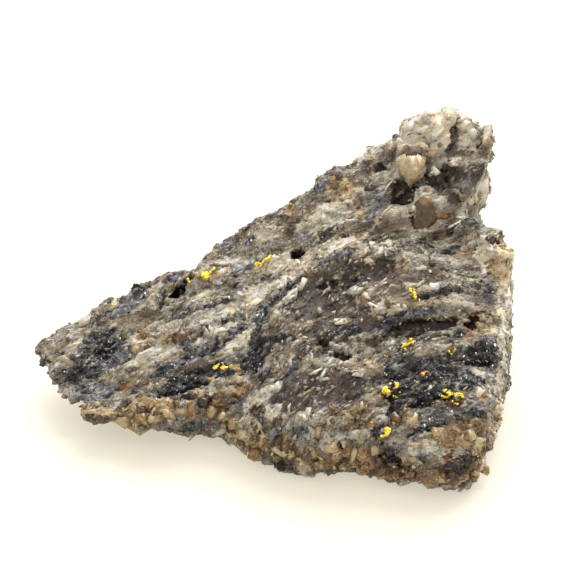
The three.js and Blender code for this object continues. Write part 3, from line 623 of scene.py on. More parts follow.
# %% Strokes on the front edge and the right flank
FRONT_EDGE = [
    ("honey", 0.60, 285, 450, 70, 34, -18), ("honey", 0.66, 350, 464, 96, 32, -6),
    ("honey", 0.50, 430, 472, 110, 28, -4), ("honey", 0.62, 476, 464, 50, 30, 60),
    ("dark", 0.06, 279, 464, 24, 14, 10, 0.1), ("milk", 0.80, 300, 455, 9, 7, 0),
    ("smoke", 0.40, 320, 455, 40, 18, 0), ("honey", 0.62, 346, 451, 34, 18, -10),
    ("honey", 0.70, 362, 455, 24, 20, 60, 0.2), ("smoke", 0.30, 326, 472, 44, 9, 0),
    ("honey", 0.72, 360, 466, 40, 12, 0), ("honey", 0.56, 376, 458, 20, 14, 0),
    ("honey", 0.68, 460, 431, 70, 22, 10), ("honey", 0.86, 476, 444, 34, 22, 0),
    ("honey", 0.66, 445, 442, 34, 16, 0), ("smoke", 0.50, 424, 462, 44, 22, 0),
    ("dark", 0.40, 420, 460, 24, 8, 10), ("smoke", 0.12, 462, 466, 52, 24, 20, -0.3),
    ("rust", 0.36, 450, 455, 24, 7, 45), ("rust", 0.13, 391, 462, 36, 16, -20, -0.3),
    ("rust", 0.30, 385, 452, 16, 8, 0), ("honey", 0.62, 386, 476, 24, 12, 0),
    ("rust", 0.50, 410, 479, 34, 6, 0), ("honey", 0.90, 482, 466, 34, 18, 65),
    ("rust", 0.26, 452, 483, 44, 8, 0),
]
RIGHT_STRIP = [
    ("honey", 0.88, 508, 258, 48, 34, -70), ("milk", 0.86, 505, 300, 90, 22, 90),
    ("milk", 0.86, 503, 350, 70, 18, 86), ("honey", 0.86, 504, 280, 34, 16, 80),
    ("milk", 0.86, 500, 390, 60, 18, 84), ("honey", 0.98, 494, 428, 50, 16, 78),
    ("milk", 0.88, 509, 300, 60, 4, 86), ("milk", 0.90, 503, 330, 66, 4, 84),
    ("smoke", 0.40, 498, 288, 34, 3, 78), ("smoke", 0.42, 508, 325, 46, 3, 80),
    ("milk", 0.88, 499, 372, 50, 4, 84), ("smoke", 0.38, 505, 375, 44, 3, 82),
    ("smoke", 0.45, 499, 335, 40, 3, 88), ("milk", 0.86, 495, 410, 40, 4, 80),
    ("honey", 0.85, 499, 312, 14, 6, 60), ("milk", 0.92, 490, 440, 30, 5, 76),
]
BLOCK = BLOCK_TOP_LEFT + BLOCK_TOP_RIGHT + DARK_MASS + BLOCK_LOWER_LEFT
STROKES = WING + HOLLOW_UNDER_PEAK + PEAK + BLOCK + FRONT_EDGE + RIGHT_STRIP
print(len(STROKES), "strokes in all")

# %% The ground where no stroke falls
# sizes in mm along, across and up in the bands
STREAK_SIZE = (5.0, 1.3, 2.6)
FINE_STREAK_SIZE = (1.5, 0.5, 0.9)
PATCH_SIZE = (1.7, 0.9, 1.3)
SMOKE_SIZE = (7.0, 2.0, 4.0)
HONEY_SIZE = (6.0, 1.8, 3.0)
BLOTCH_SIZE = 1.5
CRYSTAL_SIZE = 0.38
CRYSTAL_PULL = 0.8
MEAN_TONE = 0.52
TONE_SPREAD = 0.22
MOST_BY_CHANCE = 0.8
HONEY_BY_CHANCE = 0.45
GROUNDS = ("smoke", "dark", "honey", "rust")

fabric = in_bands(skin_points)
# points of one small crystal are pulled together, so that a border between grounds runs round crystals
_, offset = chips(skin_points, CRYSTAL_SIZE, 83)
pulled = skin_points - CRYSTAL_PULL * CRYSTAL_SIZE * offset
pulled_fabric = in_bands(pulled)
streaks = clouds(pulled_fabric, STREAK_SIZE, 11)
fine_streaks = clouds(pulled_fabric, FINE_STREAK_SIZE, 21)
blotches = clouds(pulled, BLOTCH_SIZE, 31)
patch_number, _ = chips(fabric, PATCH_SIZE, 81)
patches = patch_number * 2 - 1
pattern = streaks + 0.25 * blotches + 0.4 * patches
ground = {kind: np.zeros(len(skin_points)) for kind in GROUNDS}
ground["tone"] = MEAN_TONE + TONE_SPREAD * pattern
ground["smoke"] = eased(clouds(pulled_fabric, SMOKE_SIZE, 33), 0.05, 0.4) * MOST_BY_CHANCE
ground["dark"] = eased(-pattern, 0.5, 0.9) * MOST_BY_CHANCE
ground["honey"] = eased(clouds(pulled_fabric, HONEY_SIZE, 91), 0.15, 0.6) * HONEY_BY_CHANCE
ground["honey"] *= 1 - ground["dark"]
print("without strokes the tone is", round(float(ground["tone"].mean()), 3), "on average")

# %% Lay the strokes over it
# a stroke narrower than this keeps its line, and its border frays less
THIN_STROKE = 7
THIN_FRAY = 0.25
WIDE_FRAY = 0.5
BORDER = 0.18
fray = 0.30 * fine_streaks + 0.25 * blotches
covered = np.zeros(len(skin_points))
lift = np.zeros(len(skin_points))
for stroke in STROKES:
    kind, tone = stroke[:2]
    thin = stroke[5] < THIN_STROKE
    depth = painted(skin_points if thin else pulled, [stroke[2:7]])
    share = eased(depth + (THIN_FRAY if thin else WIDE_FRAY) * fray, 0.0, BORDER)
    ground["tone"] += share * (tone - ground["tone"])
    for other in GROUNDS:
        ground[other] += share * ((other == kind) - ground[other])
    covered = np.maximum(covered, share)
    if len(stroke) > 7:
        lift += stroke[7] * eased(depth + 0.35 * fray, -0.1, 0.7)
print("strokes cover", round(float((covered > 0.5).mean()), 2), "of the skin")

# %% Liven the painted grounds
# vx, vy, length, width, slope: where the quartz is glassy and breaks smooth
GLASSY = [(440, 135, 110, 60, 0), (465, 180, 60, 90, 0), (405, 165, 60, 44, 60), (415, 215, 80, 50, -10)]
KEPT_FIELDS = ("tone", "smoke", "dark", "honey", "rust", "calm")
CRUST_TOP = 8.5
GAP_SHADE = 0.20
GRIT_TONE = 0.11
DARK_GRIT_LOSS = 0.04


def low_edge_of(points):
    """1 on the broken crust along the front edge, 0 elsewhere."""
    return eased(CRUST_TOP - points[:, 2], 0, 2) * eased(-points[:, 1], 1, 4)


grit = 0.5 * streaks + 0.6 * fine_streaks + 0.5 * blotches + 0.5 * patches
ground["tone"] += covered * (GRIT_TONE - DARK_GRIT_LOSS * ground["dark"]) * grit
# painted shade: the skin of the crust is darker, and shows in the gaps between its grains
ground["tone"] -= GAP_SHADE * ground["honey"] * low_edge_of(pulled)
ground["calm"] = np.maximum(0.5 * ground["smoke"], eased(painted(skin_points, GLASSY), 0, 0.3))
for kind in KEPT_FIELDS:
    print(kind, "is on average", round(float(ground[kind].mean()), 3))

# %% [markdown]
# ## Relief
# Broken quartz shows ridges and grooves that follow the bands, and small chips with flat, tilted faces. A
# bump in the material would only shade them, and the outline would stay smooth. So both are laid on the skin
# itself by moving its points along their normals. The glassy and smoky quartz stays smoother, the dark
# mineral is rough, and a few deep holes are sunk where grains have fallen out.

# %% Lay relief on the skin
# sizes in mm along, across and up in the bands, heights in mm
RIDGE_SIZE = (4.0, 1.1, 2.0)
RIDGE_HEIGHT = 0.26
CHIP_SIZE = (1.9, 0.8, 1.2)
CHIP_HEIGHT = 0.22
SPLINTER_SIZE = (0.85, 0.42, 0.6)
SPLINTER_HEIGHT = 0.11
CRUMB_SIZE = 0.5
CRUMB_HEIGHT = 0.06
PALE_LIFT = 0.16
BOX_INSET = 0.05


def normals_of(mesh):
    """The direction each point of the mesh faces."""
    return numbers_of(mesh.vertex_normals, "vector", 3)


even = 1 - 0.6 * ground["calm"]
rough = 1 + 0.5 * ground["dark"] + 0.5 * ground["honey"]
relief = RIDGE_HEIGHT * clouds(fabric, RIDGE_SIZE, 41) * (1 - 0.4 * ground["calm"])
relief += CHIP_HEIGHT * chipped(fabric, CHIP_SIZE, 51) * even
relief += SPLINTER_HEIGHT * chipped(fabric, SPLINTER_SIZE, 61) * even * rough
relief += CRUMB_HEIGHT * chipped(skin_points, CRUMB_SIZE, 71) * rough * even
relief += PALE_LIFT * (ground["tone"] - 0.5)
relief += lift
skin_points = skin_points + normals_of(skin) * relief[:, None]
# at the bottom the skin may reach the table, elsewhere it stays a little inside the CAD box
skin_points = np.clip(skin_points, box_low + BOX_INSET * np.array([1, 1, 0]), box_high - BOX_INSET)
move_points(skin, skin_points)
print("relief from", relief.min().round(2), "to", relief.max().round(2), "mm")

# %% Write the fields on the skin
def keep_fields(mesh, fields, bands):
    """Writes the fields and the places in the bands on the mesh's points, for the stone's material."""
    for kind in KEPT_FIELDS:
        layer = mesh.attributes.new(kind, "FLOAT", "POINT")
        layer.data.foreach_set("value", fields[kind].astype(np.float32))
    layer = mesh.attributes.new("fabric", "FLOAT_VECTOR", "POINT")
    layer.data.foreach_set("vector", bands.astype(np.float32).ravel())


keep_fields(skin, ground, fabric)
skin.update()
corner_points = numbers_of(skin.loops, "vertex_index", 1).astype(int).reshape(-1)
face_start = numbers_of(skin.polygons, "loop_start", 1).astype(int).reshape(-1)
first_corner = corner_points[face_start]
smooth_break = ground["calm"][first_corner] >= 0.5
skin.polygons.foreach_set("use_smooth", smooth_break)
print("smooth shading on", round(float(smooth_break.mean()), 2), "of the faces, flat facets on the rest")

# %% Let it stand for the CAD rock
rock = bpy.data.objects.new("quartz_rock", skin)
bpy.context.scene.collection.objects.link(rock)
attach(rock, "root")
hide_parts("quartz_matrix")
print(rock.name, "measures", (skin_points.max(axis=0) - skin_points.min(axis=0)).round(2), "mm")

# %% [markdown]
# ## Colours and shader nodes
# Colours are written as the hex values that a paint picker shows. Blender works with linear light, so one
# function turns them. Nodes could be wired by hand in the shader editor. In a script, a second function adds
# any node with its settings and its links, and a material then reads from top to bottom like a recipe.

# %% Helpers for materials
def linear(hex_colour):
    """An sRGB hex colour as linear red, green, blue and alpha."""
    values = [int(hex_colour[i : i + 2], 16) / 255 for i in (1, 3, 5)]
    return tuple(v / 12.92 if v <= 0.04045 else ((v + 0.055) / 1.055) ** 2.4 for v in values) + (1.0,)


def add(material, kind, inputs=None, ramp=None, **settings):
    """Adds a node. An input is a value, or an output socket to link; ramp has (place, hex colour) stops."""
    node = material.node_tree.nodes.new(kind)
    for name, value in settings.items():
        setattr(node, name, value)
    for socket, value in (inputs or {}).items():
        if isinstance(value, bpy.types.NodeSocket):
            material.node_tree.links.new(value, node.inputs[socket])
        else:
            node.inputs[socket].default_value = value
    if ramp:
        stops = node.color_ramp.elements
        while len(stops) < len(ramp):
            stops.new(1.0)
        for stop, (place, colour) in zip(stops, ramp):
            stop.position = place
            stop.color = linear(colour)
    return node


def new_material(name):
    """An empty node material and its output node."""
    material = bpy.data.materials.new(name)
    material.use_nodes = True
    material.node_tree.nodes.clear()
    return material, add(material, "ShaderNodeOutputMaterial")


print("mid grey in linear light:", round(linear("#808080")[0], 4))

# %% [markdown]
# ## The quartz matrix: banded vein quartz with fine sulphide
# The real one is vein quartz, broken with a hammer. Fresh breaks of quartz are glassy but finely hackled, so
# the eye sees a broken grey with many small glints. The dark bands are a fine-grained sulphide with a dull
# metallic shine. Each ground could have a material of its own, but they would meet in hard lines. So this is
# one material that mixes the five grounds by the painted fields. Its noises have the sizes of the real
# streaks and grains.

# %% Fields and noises of the stone
# name, size in mm, detail, roughness, whether it is drawn out along the bands
NOISES = [
    ("streak", 0.55, 4.0, 0.6, True), ("hackle", 0.26, 4.0, 0.65, False), ("cloudy", 1.3, 4.0, 0.6, False),
    ("fleck", 0.16, 2.0, 0.6, False), ("flake", 0.36, 3.0, 0.6, True), ("hue", 0.9, 4.0, 0.65, False),
    ("sheet", 0.9, 3.0, 0.6, True),
]
DRAWN_OUT = (0.26, 1.0, 0.55)

stone, stone_output = new_material("vein_quartz_with_sulphide")
in_space = add(stone, "ShaderNodeTexCoord").outputs["Object"]
in_fabric = add(stone, "ShaderNodeAttribute", attribute_name="fabric").outputs["Vector"]
along_bands = add(stone, "ShaderNodeVectorMath", {
    0: in_fabric, 1: DRAWN_OUT}, operation="MULTIPLY").outputs[0]
part = {}
for kind in KEPT_FIELDS:
    part[kind] = add(stone, "ShaderNodeAttribute", attribute_name=kind).outputs["Fac"]
for name, size, detail, roughness, banded in NOISES:
    part[name] = add(stone, "ShaderNodeTexNoise", {
        "Vector": along_bands if banded else in_space,
        "Scale": 1 / size if banded else 1 / (size * MM),
        "Detail": detail,
        "Roughness": roughness,
    }).outputs["Fac"]
print("fields and noises:", ", ".join(part))

# %% Splinters with torn borders
# sizes in mm; a noise swings the borders of the cells, and each cell has a tone of its own
TORN_CELLS = {"splinter": 0.75, "crumb": 0.30}
CRACK_CELL = 1.1
RAGGED_SIZE = 0.35
RAGGED_SWING = 0.9
LONG_CELLS = (0.55, 1.0, 0.8)

ragged = add(stone, "ShaderNodeTexNoise", {
    "Vector": in_space, "Scale": 1 / (RAGGED_SIZE * MM), "Detail": 3.0}).outputs["Color"]
swing = add(stone, "ShaderNodeVectorMath", {0: ragged, 1: (0.5, 0.5, 0.5)}, operation="SUBTRACT").outputs[0]
swing = add(stone, "ShaderNodeVectorMath", {0: swing, "Scale": RAGGED_SWING}, operation="SCALE").outputs[0]
torn = add(stone, "ShaderNodeVectorMath", {0: in_fabric, 1: swing}).outputs[0]
torn = add(stone, "ShaderNodeVectorMath", {0: torn, 1: LONG_CELLS}, operation="MULTIPLY").outputs[0]
for name, size in TORN_CELLS.items():
    part[name] = add(stone, "ShaderNodeTexVoronoi", {"Vector": torn, "Scale": 1 / size}).outputs["Color"]
part["crack"] = add(stone, "ShaderNodeTexVoronoi", {
    "Vector": torn, "Scale": 1 / CRACK_CELL}, feature="DISTANCE_TO_EDGE").outputs["Distance"]
print("torn cells:", ", ".join(TORN_CELLS), "and cracks", CRACK_CELL, "mm apart")

# %% The tone, from black to cream
# how strongly each pattern changes the painted tone; glassy quartz is evener
TONE_CHANGES = {"streak": 0.40, "hackle": 0.38, "cloudy": 0.38, "splinter": 0.20, "crumb": 0.10}

change = -sum(TONE_CHANGES.values()) / 2
for name, weight in TONE_CHANGES.items():
    change = add(stone, "ShaderNodeMath", {
        0: part[name], 1: weight, 2: change}, operation="MULTIPLY_ADD").outputs[0]
evenness = add(stone, "ShaderNodeMath", {
    0: part["calm"], 1: -0.6, 2: 1.0}, operation="MULTIPLY_ADD").outputs[0]
tone = add(stone, "ShaderNodeMath", {
    0: change, 1: evenness, 2: part["tone"]}, operation="MULTIPLY_ADD").outputs[0]
gap = add(stone, "ShaderNodeMapRange", {
    "Value": part["crack"], "From Min": 0.0, "From Max": 0.05, "To Min": -0.16, "To Max": 0.0,
}).outputs["Result"]
tone = add(stone, "ShaderNodeMath", {0: gap, 1: evenness, 2: tone}, operation="MULTIPLY_ADD").outputs[0]
print("patterns change the tone by up to", round(sum(TONE_CHANGES.values()) / 2, 2))

# %% Painted light and shade on the edges of thin sheets, and light flakes
# a thin sheet's edge is a painted highlight with a painted shadow beside it, broken here and there
SHEET_EDGE = (0.500, 0.008)
SHEET_SHADOW = (0.518, 0.010)
SHADOW_DEPTH = 1.2

lit_edge = add(stone, "ShaderNodeMath", {
    0: part["sheet"], 1: SHEET_EDGE[0], 2: SHEET_EDGE[1]}, operation="COMPARE").outputs[0]
shadow = add(stone, "ShaderNodeMath", {
    0: part["sheet"], 1: SHEET_SHADOW[0], 2: SHEET_SHADOW[1]}, operation="COMPARE").outputs[0]
edge = add(stone, "ShaderNodeMath", {
    0: shadow, 1: -SHADOW_DEPTH, 2: lit_edge}, operation="MULTIPLY_ADD").outputs[0]
unbroken = add(stone, "ShaderNodeMapRange", {
    "Value": part["hackle"], "From Min": 0.44, "From Max": 0.54, "To Min": 0.0, "To Max": 0.2,
}).outputs["Result"]
tone = add(stone, "ShaderNodeMath", {0: edge, 1: unbroken, 2: tone}, operation="MULTIPLY_ADD").outputs[0]

light_flake = add(stone, "ShaderNodeMapRange", {
    "Value": part["flake"], "From Min": 0.60, "From Max": 0.64, "To Min": 0.0, "To Max": 0.22,
}).outputs["Result"]
on_dim = add(stone, "ShaderNodeMapRange", {
    "Value": tone, "From Min": 0.2, "From Max": 0.8, "To Min": 1.0, "To Max": 0.15}).outputs["Result"]
on_smoke = add(stone, "ShaderNodeMath", {
    0: part["smoke"], 1: 1.4, 2: 0.8}, operation="MULTIPLY_ADD").outputs[0]
light_flake = add(stone, "ShaderNodeMath", {0: light_flake, 1: on_dim}, operation="MULTIPLY").outputs[0]
tone = add(stone, "ShaderNodeMath", {
    0: light_flake, 1: on_smoke, 2: tone}, operation="MULTIPLY_ADD").outputs[0]
print("nodes so far:", len(stone.node_tree.nodes))

# %% Colours of the five grounds
# each ground runs from black to its palest tone; smoky and honey quartz are browner, the sulphide bluer
STONE_COLOURS = {
    "milk": [(0.0, "#170e08"), (0.20, "#31281e"), (0.36, "#514b41"), (0.50, "#747066"), (0.66, "#9d9a90"),
             (0.82, "#bfbcb2"), (1.0, "#d1cdc1")],
    "smoke": [(0.0, "#140905"), (0.20, "#2c1f15"), (0.36, "#483a2c"), (0.52, "#6a5d4d"), (0.70, "#958c7b"),
              (1.0, "#cfc9ba")],
    "dark": [(0.0, "#0b0706"), (0.20, "#313032"), (0.36, "#5d5e63"), (0.50, "#84868b"), (0.70, "#a8a8a7"),
             (1.0, "#d2cfc8")],
    "honey": [(0.0, "#1a0c04"), (0.25, "#432c14"), (0.45, "#745a3a"), (0.62, "#a18862"), (0.80, "#c0b293"),
              (1.0, "#d2c8ae")],
    "rust": [(0.0, "#160401"), (0.3, "#401c0c"), (0.55, "#744423"), (0.85, "#ab7540"), (1.0, "#cfa06a")],
}

colour = add(stone, "ShaderNodeValToRGB", {"Fac": tone}, ramp=STONE_COLOURS["milk"]).outputs["Color"]
for kind in GROUNDS:
    own = add(stone, "ShaderNodeValToRGB", {"Fac": tone}, ramp=STONE_COLOURS[kind]).outputs["Color"]
    border = add(stone, "ShaderNodeMath", {
        0: part["hackle"], 1: 0.8, 2: part[kind]}, operation="MULTIPLY_ADD").outputs[0]
    share = add(stone, "ShaderNodeMapRange", {
        "Value": border, "From Min": 0.75, "From Max": 1.0}).outputs["Result"]
    colour = add(stone, "ShaderNodeMix", {0: share, 6: colour, 7: own}, data_type="RGBA").outputs[2]
print("grounds mixed: milk,", ", ".join(GROUNDS))

# %% Pale specks with painted glints, and a cool or warm tinge
# crushed quartz and painted glints lie on everything but the glassy, the dark and the shaded places
speck = add(stone, "ShaderNodeMapRange", {
    "Value": part["fleck"], "From Min": 0.63, "From Max": 0.68, "To Min": 0.0, "To Max": 0.7,
}).outputs["Result"]
few = add(stone, "ShaderNodeMath", {
    0: part["dark"], 1: -0.6, 2: evenness}, operation="MULTIPLY_ADD").outputs[0]
lit = add(stone, "ShaderNodeMapRange", {"Value": tone, "From Min": 0.12, "From Max": 0.35}).outputs["Result"]
speck = add(stone, "ShaderNodeMath", {0: speck, 1: few}, operation="MULTIPLY").outputs[0]
speck = add(stone, "ShaderNodeMath", {0: speck, 1: lit}, operation="MULTIPLY").outputs[0]
colour = add(stone, "ShaderNodeMix", {
    0: speck, 6: colour, 7: linear("#cfc8b8")}, data_type="RGBA").outputs[2]

warmth = add(stone, "ShaderNodeMapRange", {
    "Value": part["hue"], "From Min": 0.38, "From Max": 0.62}).outputs["Result"]
tinge = add(stone, "ShaderNodeValToRGB", {"Fac": warmth}, ramp=[
    (0.0, "#f5f6ff"), (0.5, "#fffdf8"), (1.0, "#fff2d8")]).outputs["Color"]
colour = add(stone, "ShaderNodeMix", {
    0: 1.0, 6: colour, 7: tinge}, data_type="RGBA", blend_type="MULTIPLY").outputs[2]
print("nodes so far:", len(stone.node_tree.nodes))

# %% The broken surface
# quartz has an IOR of 1.544 and lets a little light in; the sulphide adds a dull metallic shine
QUARTZ_IOR = 1.544
STONE_BUMP = 0.13
GLOW_DEPTH = 0.8

height = add(stone, "ShaderNodeMath", {
    0: part["fleck"], 1: 0.5, 2: part["hackle"]}, operation="MULTIPLY_ADD").outputs[0]
sheet_step = add(stone, "ShaderNodeMapRange", {
    "Value": part["sheet"], "From Min": 0.50, "From Max": 0.52, "To Min": 0.5, "To Max": 0.0,
}).outputs["Result"]
height = add(stone, "ShaderNodeMath", {0: height, 1: sheet_step}).outputs[0]
bump = add(stone, "ShaderNodeBump", {
    "Height": height, "Strength": evenness, "Distance": STONE_BUMP * MM}).outputs["Normal"]
gloss = add(stone, "ShaderNodeMapRange", {
    "Value": part["hackle"], "From Min": 0.35, "From Max": 0.65, "To Min": 0.28, "To Max": 0.65,
}).outputs["Result"]
shine = add(stone, "ShaderNodeMath", {0: part["dark"], 1: 0.45}, operation="MULTIPLY").outputs[0]
surface = add(stone, "ShaderNodeBsdfPrincipled", {
    "Base Color": colour, "Roughness": gloss, "Metallic": shine, "IOR": QUARTZ_IOR, "Normal": bump,
    "Subsurface Weight": 0.12, "Subsurface Radius": (1.0, 0.8, 0.55), "Subsurface Scale": GLOW_DEPTH * MM,
})
stone.node_tree.links.new(surface.outputs["BSDF"], stone_output.inputs["Surface"])
skin.materials.clear()
skin.materials.append(stone)
print("stone nodes:", len(stone.node_tree.nodes))

# %% [markdown]
# ## Loose grains, flakes and small crystals
# A hammer break through grown-together quartz leaves thousands of little bodies standing out: sugary grains
# on the edge, thin pale flakes on the face, and tiny crystals in the dark bands. They are too many to be
# parts, and they are all grown to the rock. Blender could scatter them with instances, but an export needs
# real faces, so each kind is one joined mesh. A few crooked lumps with flat faces serve as moulds. Copies of
# them are turned, stretched and sunk partly into the skin.

# %% Cast the moulds
# half the side of a cube that is as large as a ball 1 unit in radius
CUBE_HALF = 0.8


def hull(points):
    """The flat-faced lump that just holds the points: its corners and triangles."""
    lump = bmesh.new()
    for point in points:
        lump.verts.new(point)
    result = bmesh.ops.convex_hull(lump, input=lump.verts)
    unused = [e for e in result["geom_interior"] if isinstance(e, bmesh.types.BMVert)]
    bmesh.ops.delete(lump, geom=unused, context="VERTS")
    bmesh.ops.triangulate(lump, faces=lump.faces)
    bmesh.ops.recalc_face_normals(lump, faces=lump.faces)
    lump.verts.index_update()
    shape = np.array([v.co for v in lump.verts])
    triangles = np.array([[v.index for v in f.verts] for f in lump.faces])
    lump.free()
    return shape, triangles


def mould(seed, corners, blockiness):
    """A small lump with flat faces, about 1 unit in radius: round at blockiness 0, a cube at 1."""
    draw = np.random.default_rng(seed)
    rays = draw.normal(size=(corners, 3))
    rays /= np.linalg.norm(rays, axis=1)[:, None]
    cube = rays / np.abs(rays).max(axis=1)[:, None] * CUBE_HALF
    return hull(rays * (1 - blockiness) + cube * blockiness)


coarse_moulds = [mould(seed, 13, 0.45) for seed in range(10)]
small_moulds = [mould(seed, 8, 0.3) for seed in range(20, 28)]
crystal_moulds = [mould(seed, 9, 0.5) for seed in range(60, 74)]
print("moulds:", len(coarse_moulds), "coarse,", len(small_moulds), "small,", len(crystal_moulds), "crystals")

# %% Pick spots for them
# how far from an edge it is felt, what counts as edge and as flat, and how rare large grains are
EDGE_PASSES = 14
EDGE_TO_FLAT = (0.45, 0.85)
FEW_LARGE = 2.2

skin_normals = normals_of(skin)
# near 1 where the skin is flat, low at an edge: there long grains are made shorter, so that none juts out
flatness = eased(np.linalg.norm(smoothed(skin_normals, links, EDGE_PASSES), axis=1), *EDGE_TO_FLAT)
face_area = numbers_of(skin.polygons, "area", 1).reshape(-1) / MM**2


def spots(density, spacing, seed):
    """Skin points picked by chance, more where density (per square mm) is high, about spacing mm apart."""
    draw = np.random.default_rng(seed)
    chance = density[first_corner] * face_area
    picked = first_corner[draw.random(len(chance)) < chance]
    draw.shuffle(picked)
    cells = np.floor(skin_points[picked] / spacing).astype(np.int64)
    _, first = np.unique(cells, axis=0, return_index=True)
    return picked[np.sort(first)]


def grain_sizes(count, smallest, largest, seed, shape=(1.0, 0.8, 0.7)):
    """Half-lengths in mm, many small and few large."""
    draw = np.random.default_rng(seed)
    size = smallest + (largest - smallest) * draw.random(count) ** FEW_LARGE
    stretch = np.array(shape) * draw.uniform(0.8, 1.25, (count, 3))
    return size[:, None] * stretch


print("skin area", round(float(face_area.sum())), "mm2, mean flatness", round(float(flatness.mean()), 2))

# %% Turn each grain to the bands
def band_frames(at, draw, spin, lean):
    """Axes for each grain: along the band, across it, and out of the rock, then turned by chance."""
    points = skin_points[at]
    out = skin_normals[at]
    step = 0.05
    rise = np.zeros_like(points)
    for axis in range(3):
        moved = points.copy()
        moved[:, axis] += step
        rise[:, axis] = (in_bands(moved)[:, 1] - in_bands(points)[:, 1]) / step
    along = np.cross(rise, out)
    along /= np.linalg.norm(along, axis=1)[:, None] + 1e-9
    side = np.cross(out, along)
    turn = draw.uniform(-spin, spin, len(at))[:, None]
    along, side = along * np.cos(turn) + side * np.sin(turn), side * np.cos(turn) - along * np.sin(turn)
    turn = draw.uniform(-lean, lean, len(at))[:, None]
    along, out = along * np.cos(turn) + out * np.sin(turn), out * np.cos(turn) - along * np.sin(turn)
    return np.stack([along, side, out], axis=1)


first_axes = band_frames(np.array([0]), np.random.default_rng(0), 0, 0)
print("axes at the first point:", first_axes.round(2).tolist())

# %% Join the grains of one kind
GRAIN_INSET = (0.02, 0.02, 0.01)


def mesh_piece(name, points, triangles, numbers):
    """A new object from points in mm and triangles, with a number for each point kept as grain_number."""
    mesh = bpy.data.meshes.new(name)
    mesh.vertices.add(len(points))
    mesh.vertices.foreach_set("co", (points * MM).ravel())
    mesh.loops.add(len(triangles) * 3)
    mesh.loops.foreach_set("vertex_index", triangles.ravel().astype(np.int32))
    mesh.polygons.add(len(triangles))
    mesh.polygons.foreach_set("loop_start", np.arange(0, len(triangles) * 3, 3, dtype=np.int32))
    mesh.update(calc_edges=True)
    layer = mesh.attributes.new("grain_number", "FLOAT", "POINT")
    layer.data.foreach_set("value", numbers.astype(np.float32))
    piece = bpy.data.objects.new(name, mesh)
    bpy.context.scene.collection.objects.link(piece)
    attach(piece, "root")
    print(name, "has", len(triangles), "triangles")
    return piece


def joined_grains(name, moulds, at, sizes, sink, seed, spin=3.1, lean=0.6):
    """One mesh of many grains: at are skin points, sizes half-lengths in mm, sink the depth of the middle.

    With it come the skin point and the chance number of the grain that each of its points belongs to."""
    draw = np.random.default_rng(seed)
    frames = band_frames(at, draw, spin, lean)
    centres = skin_points[at] - skin_normals[at] * sink[:, None]
    kind = draw.integers(0, len(moulds), len(at))
    number = draw.random(len(at))
    all_points = []
    all_triangles = []
    all_numbers = []
    all_homes = []
    grown = 0
    for index, (shape, triangles) in enumerate(moulds):
        mine = np.flatnonzero(kind == index)
        placed = np.einsum("gvk,gkx->gvx", shape[None] * sizes[mine, None, :], frames[mine])
        placed += centres[mine, None, :]
        # a grain that would reach out of the CAD box is left out
        low_ok = np.all(placed.min(axis=1) > box_low + GRAIN_INSET, axis=1)
        high_ok = np.all(placed.max(axis=1) < box_high - GRAIN_INSET[0], axis=1)
        fits = low_ok & high_ok
        starts = grown + np.arange(fits.sum()) * len(shape)
        all_points.append(placed[fits].reshape(-1, 3))
        all_triangles.append((triangles[None] + starts[:, None, None]).reshape(-1, 3))
        all_numbers.append(np.repeat(number[mine][fits], len(shape)))
        all_homes.append(np.repeat(at[mine][fits], len(shape)))
        grown += len(starts) * len(shape)
    numbers = np.concatenate(all_numbers)
    piece = mesh_piece(name, np.concatenate(all_points), np.concatenate(all_triangles), numbers)
    return piece, np.concatenate(all_homes), numbers


print("grains keep", GRAIN_INSET, "mm inside the box")

# %% [markdown]
# ## Sugary quartz on the broken edge
# Along the front edge the quartz is a crust of clear to honey-coloured grains, each a crystal with flat
# faces. A bump could imitate them, but they throw shadows on one another and break the outline, so they are
# real bodies. They let light in, so the crust glows a little where it is thin. Quartz's IOR of 1.544, half
# clear, and a tint that differs from grain to grain give that.

# %% A material for quartz grains
# how much frost changes the tint, and in mm how deep it is and how deep light gets into a grain
FROST_TINT = 0.7
FROST_DEPTH = 0.05
GRAIN_GLOW = 0.5


def grain_quartz(name, stops, clear, roughness, frost_mm):
    """Quartz grains tinted grain by grain; clear is how much light goes straight through."""
    material, output = new_material(name)
    number = add(material, "ShaderNodeAttribute", attribute_name="grain_number").outputs["Fac"]
    place = add(material, "ShaderNodeTexCoord").outputs["Object"]
    frost = add(material, "ShaderNodeTexNoise", {
        "Vector": place, "Scale": 1 / (frost_mm * MM), "Detail": 3.0}).outputs["Fac"]
    mix = add(material, "ShaderNodeMath", {
        0: frost, 1: FROST_TINT, 2: number}, operation="MULTIPLY_ADD").outputs[0]
    mix = add(material, "ShaderNodeMath", {0: mix, 1: -FROST_TINT / 2}).outputs[0]
    tint = add(material, "ShaderNodeValToRGB", {"Fac": mix}, ramp=stops).outputs["Color"]
    bump = add(material, "ShaderNodeBump", {
        "Height": frost, "Strength": 0.5, "Distance": FROST_DEPTH * MM}).outputs["Normal"]
    gloss = add(material, "ShaderNodeMapRange", {
        "Value": frost, "From Min": 0.35, "From Max": 0.65,
        "To Min": roughness, "To Max": roughness + 0.3}).outputs["Result"]
    glass = add(material, "ShaderNodeBsdfPrincipled", {
        "Base Color": tint, "Roughness": gloss, "IOR": QUARTZ_IOR, "Normal": bump,
        "Transmission Weight": clear, "Subsurface Weight": 0.2,
        "Subsurface Radius": (1.0, 0.75, 0.45), "Subsurface Scale": GRAIN_GLOW * MM,
    })
    material.node_tree.links.new(glass.outputs["BSDF"], output.inputs["Surface"])
    return material


SUGAR_TINTS = [(0.0, "#2a180a"), (0.2, "#5f4424"), (0.45, "#a07e50"), (0.7, "#ccb488"), (1.0, "#e2d6b6")]
sugar_quartz = grain_quartz("sugary_honey_quartz", SUGAR_TINTS, clear=0.45, roughness=0.08, frost_mm=0.4)
print("quartz grains have an IOR of", QUARTZ_IOR)

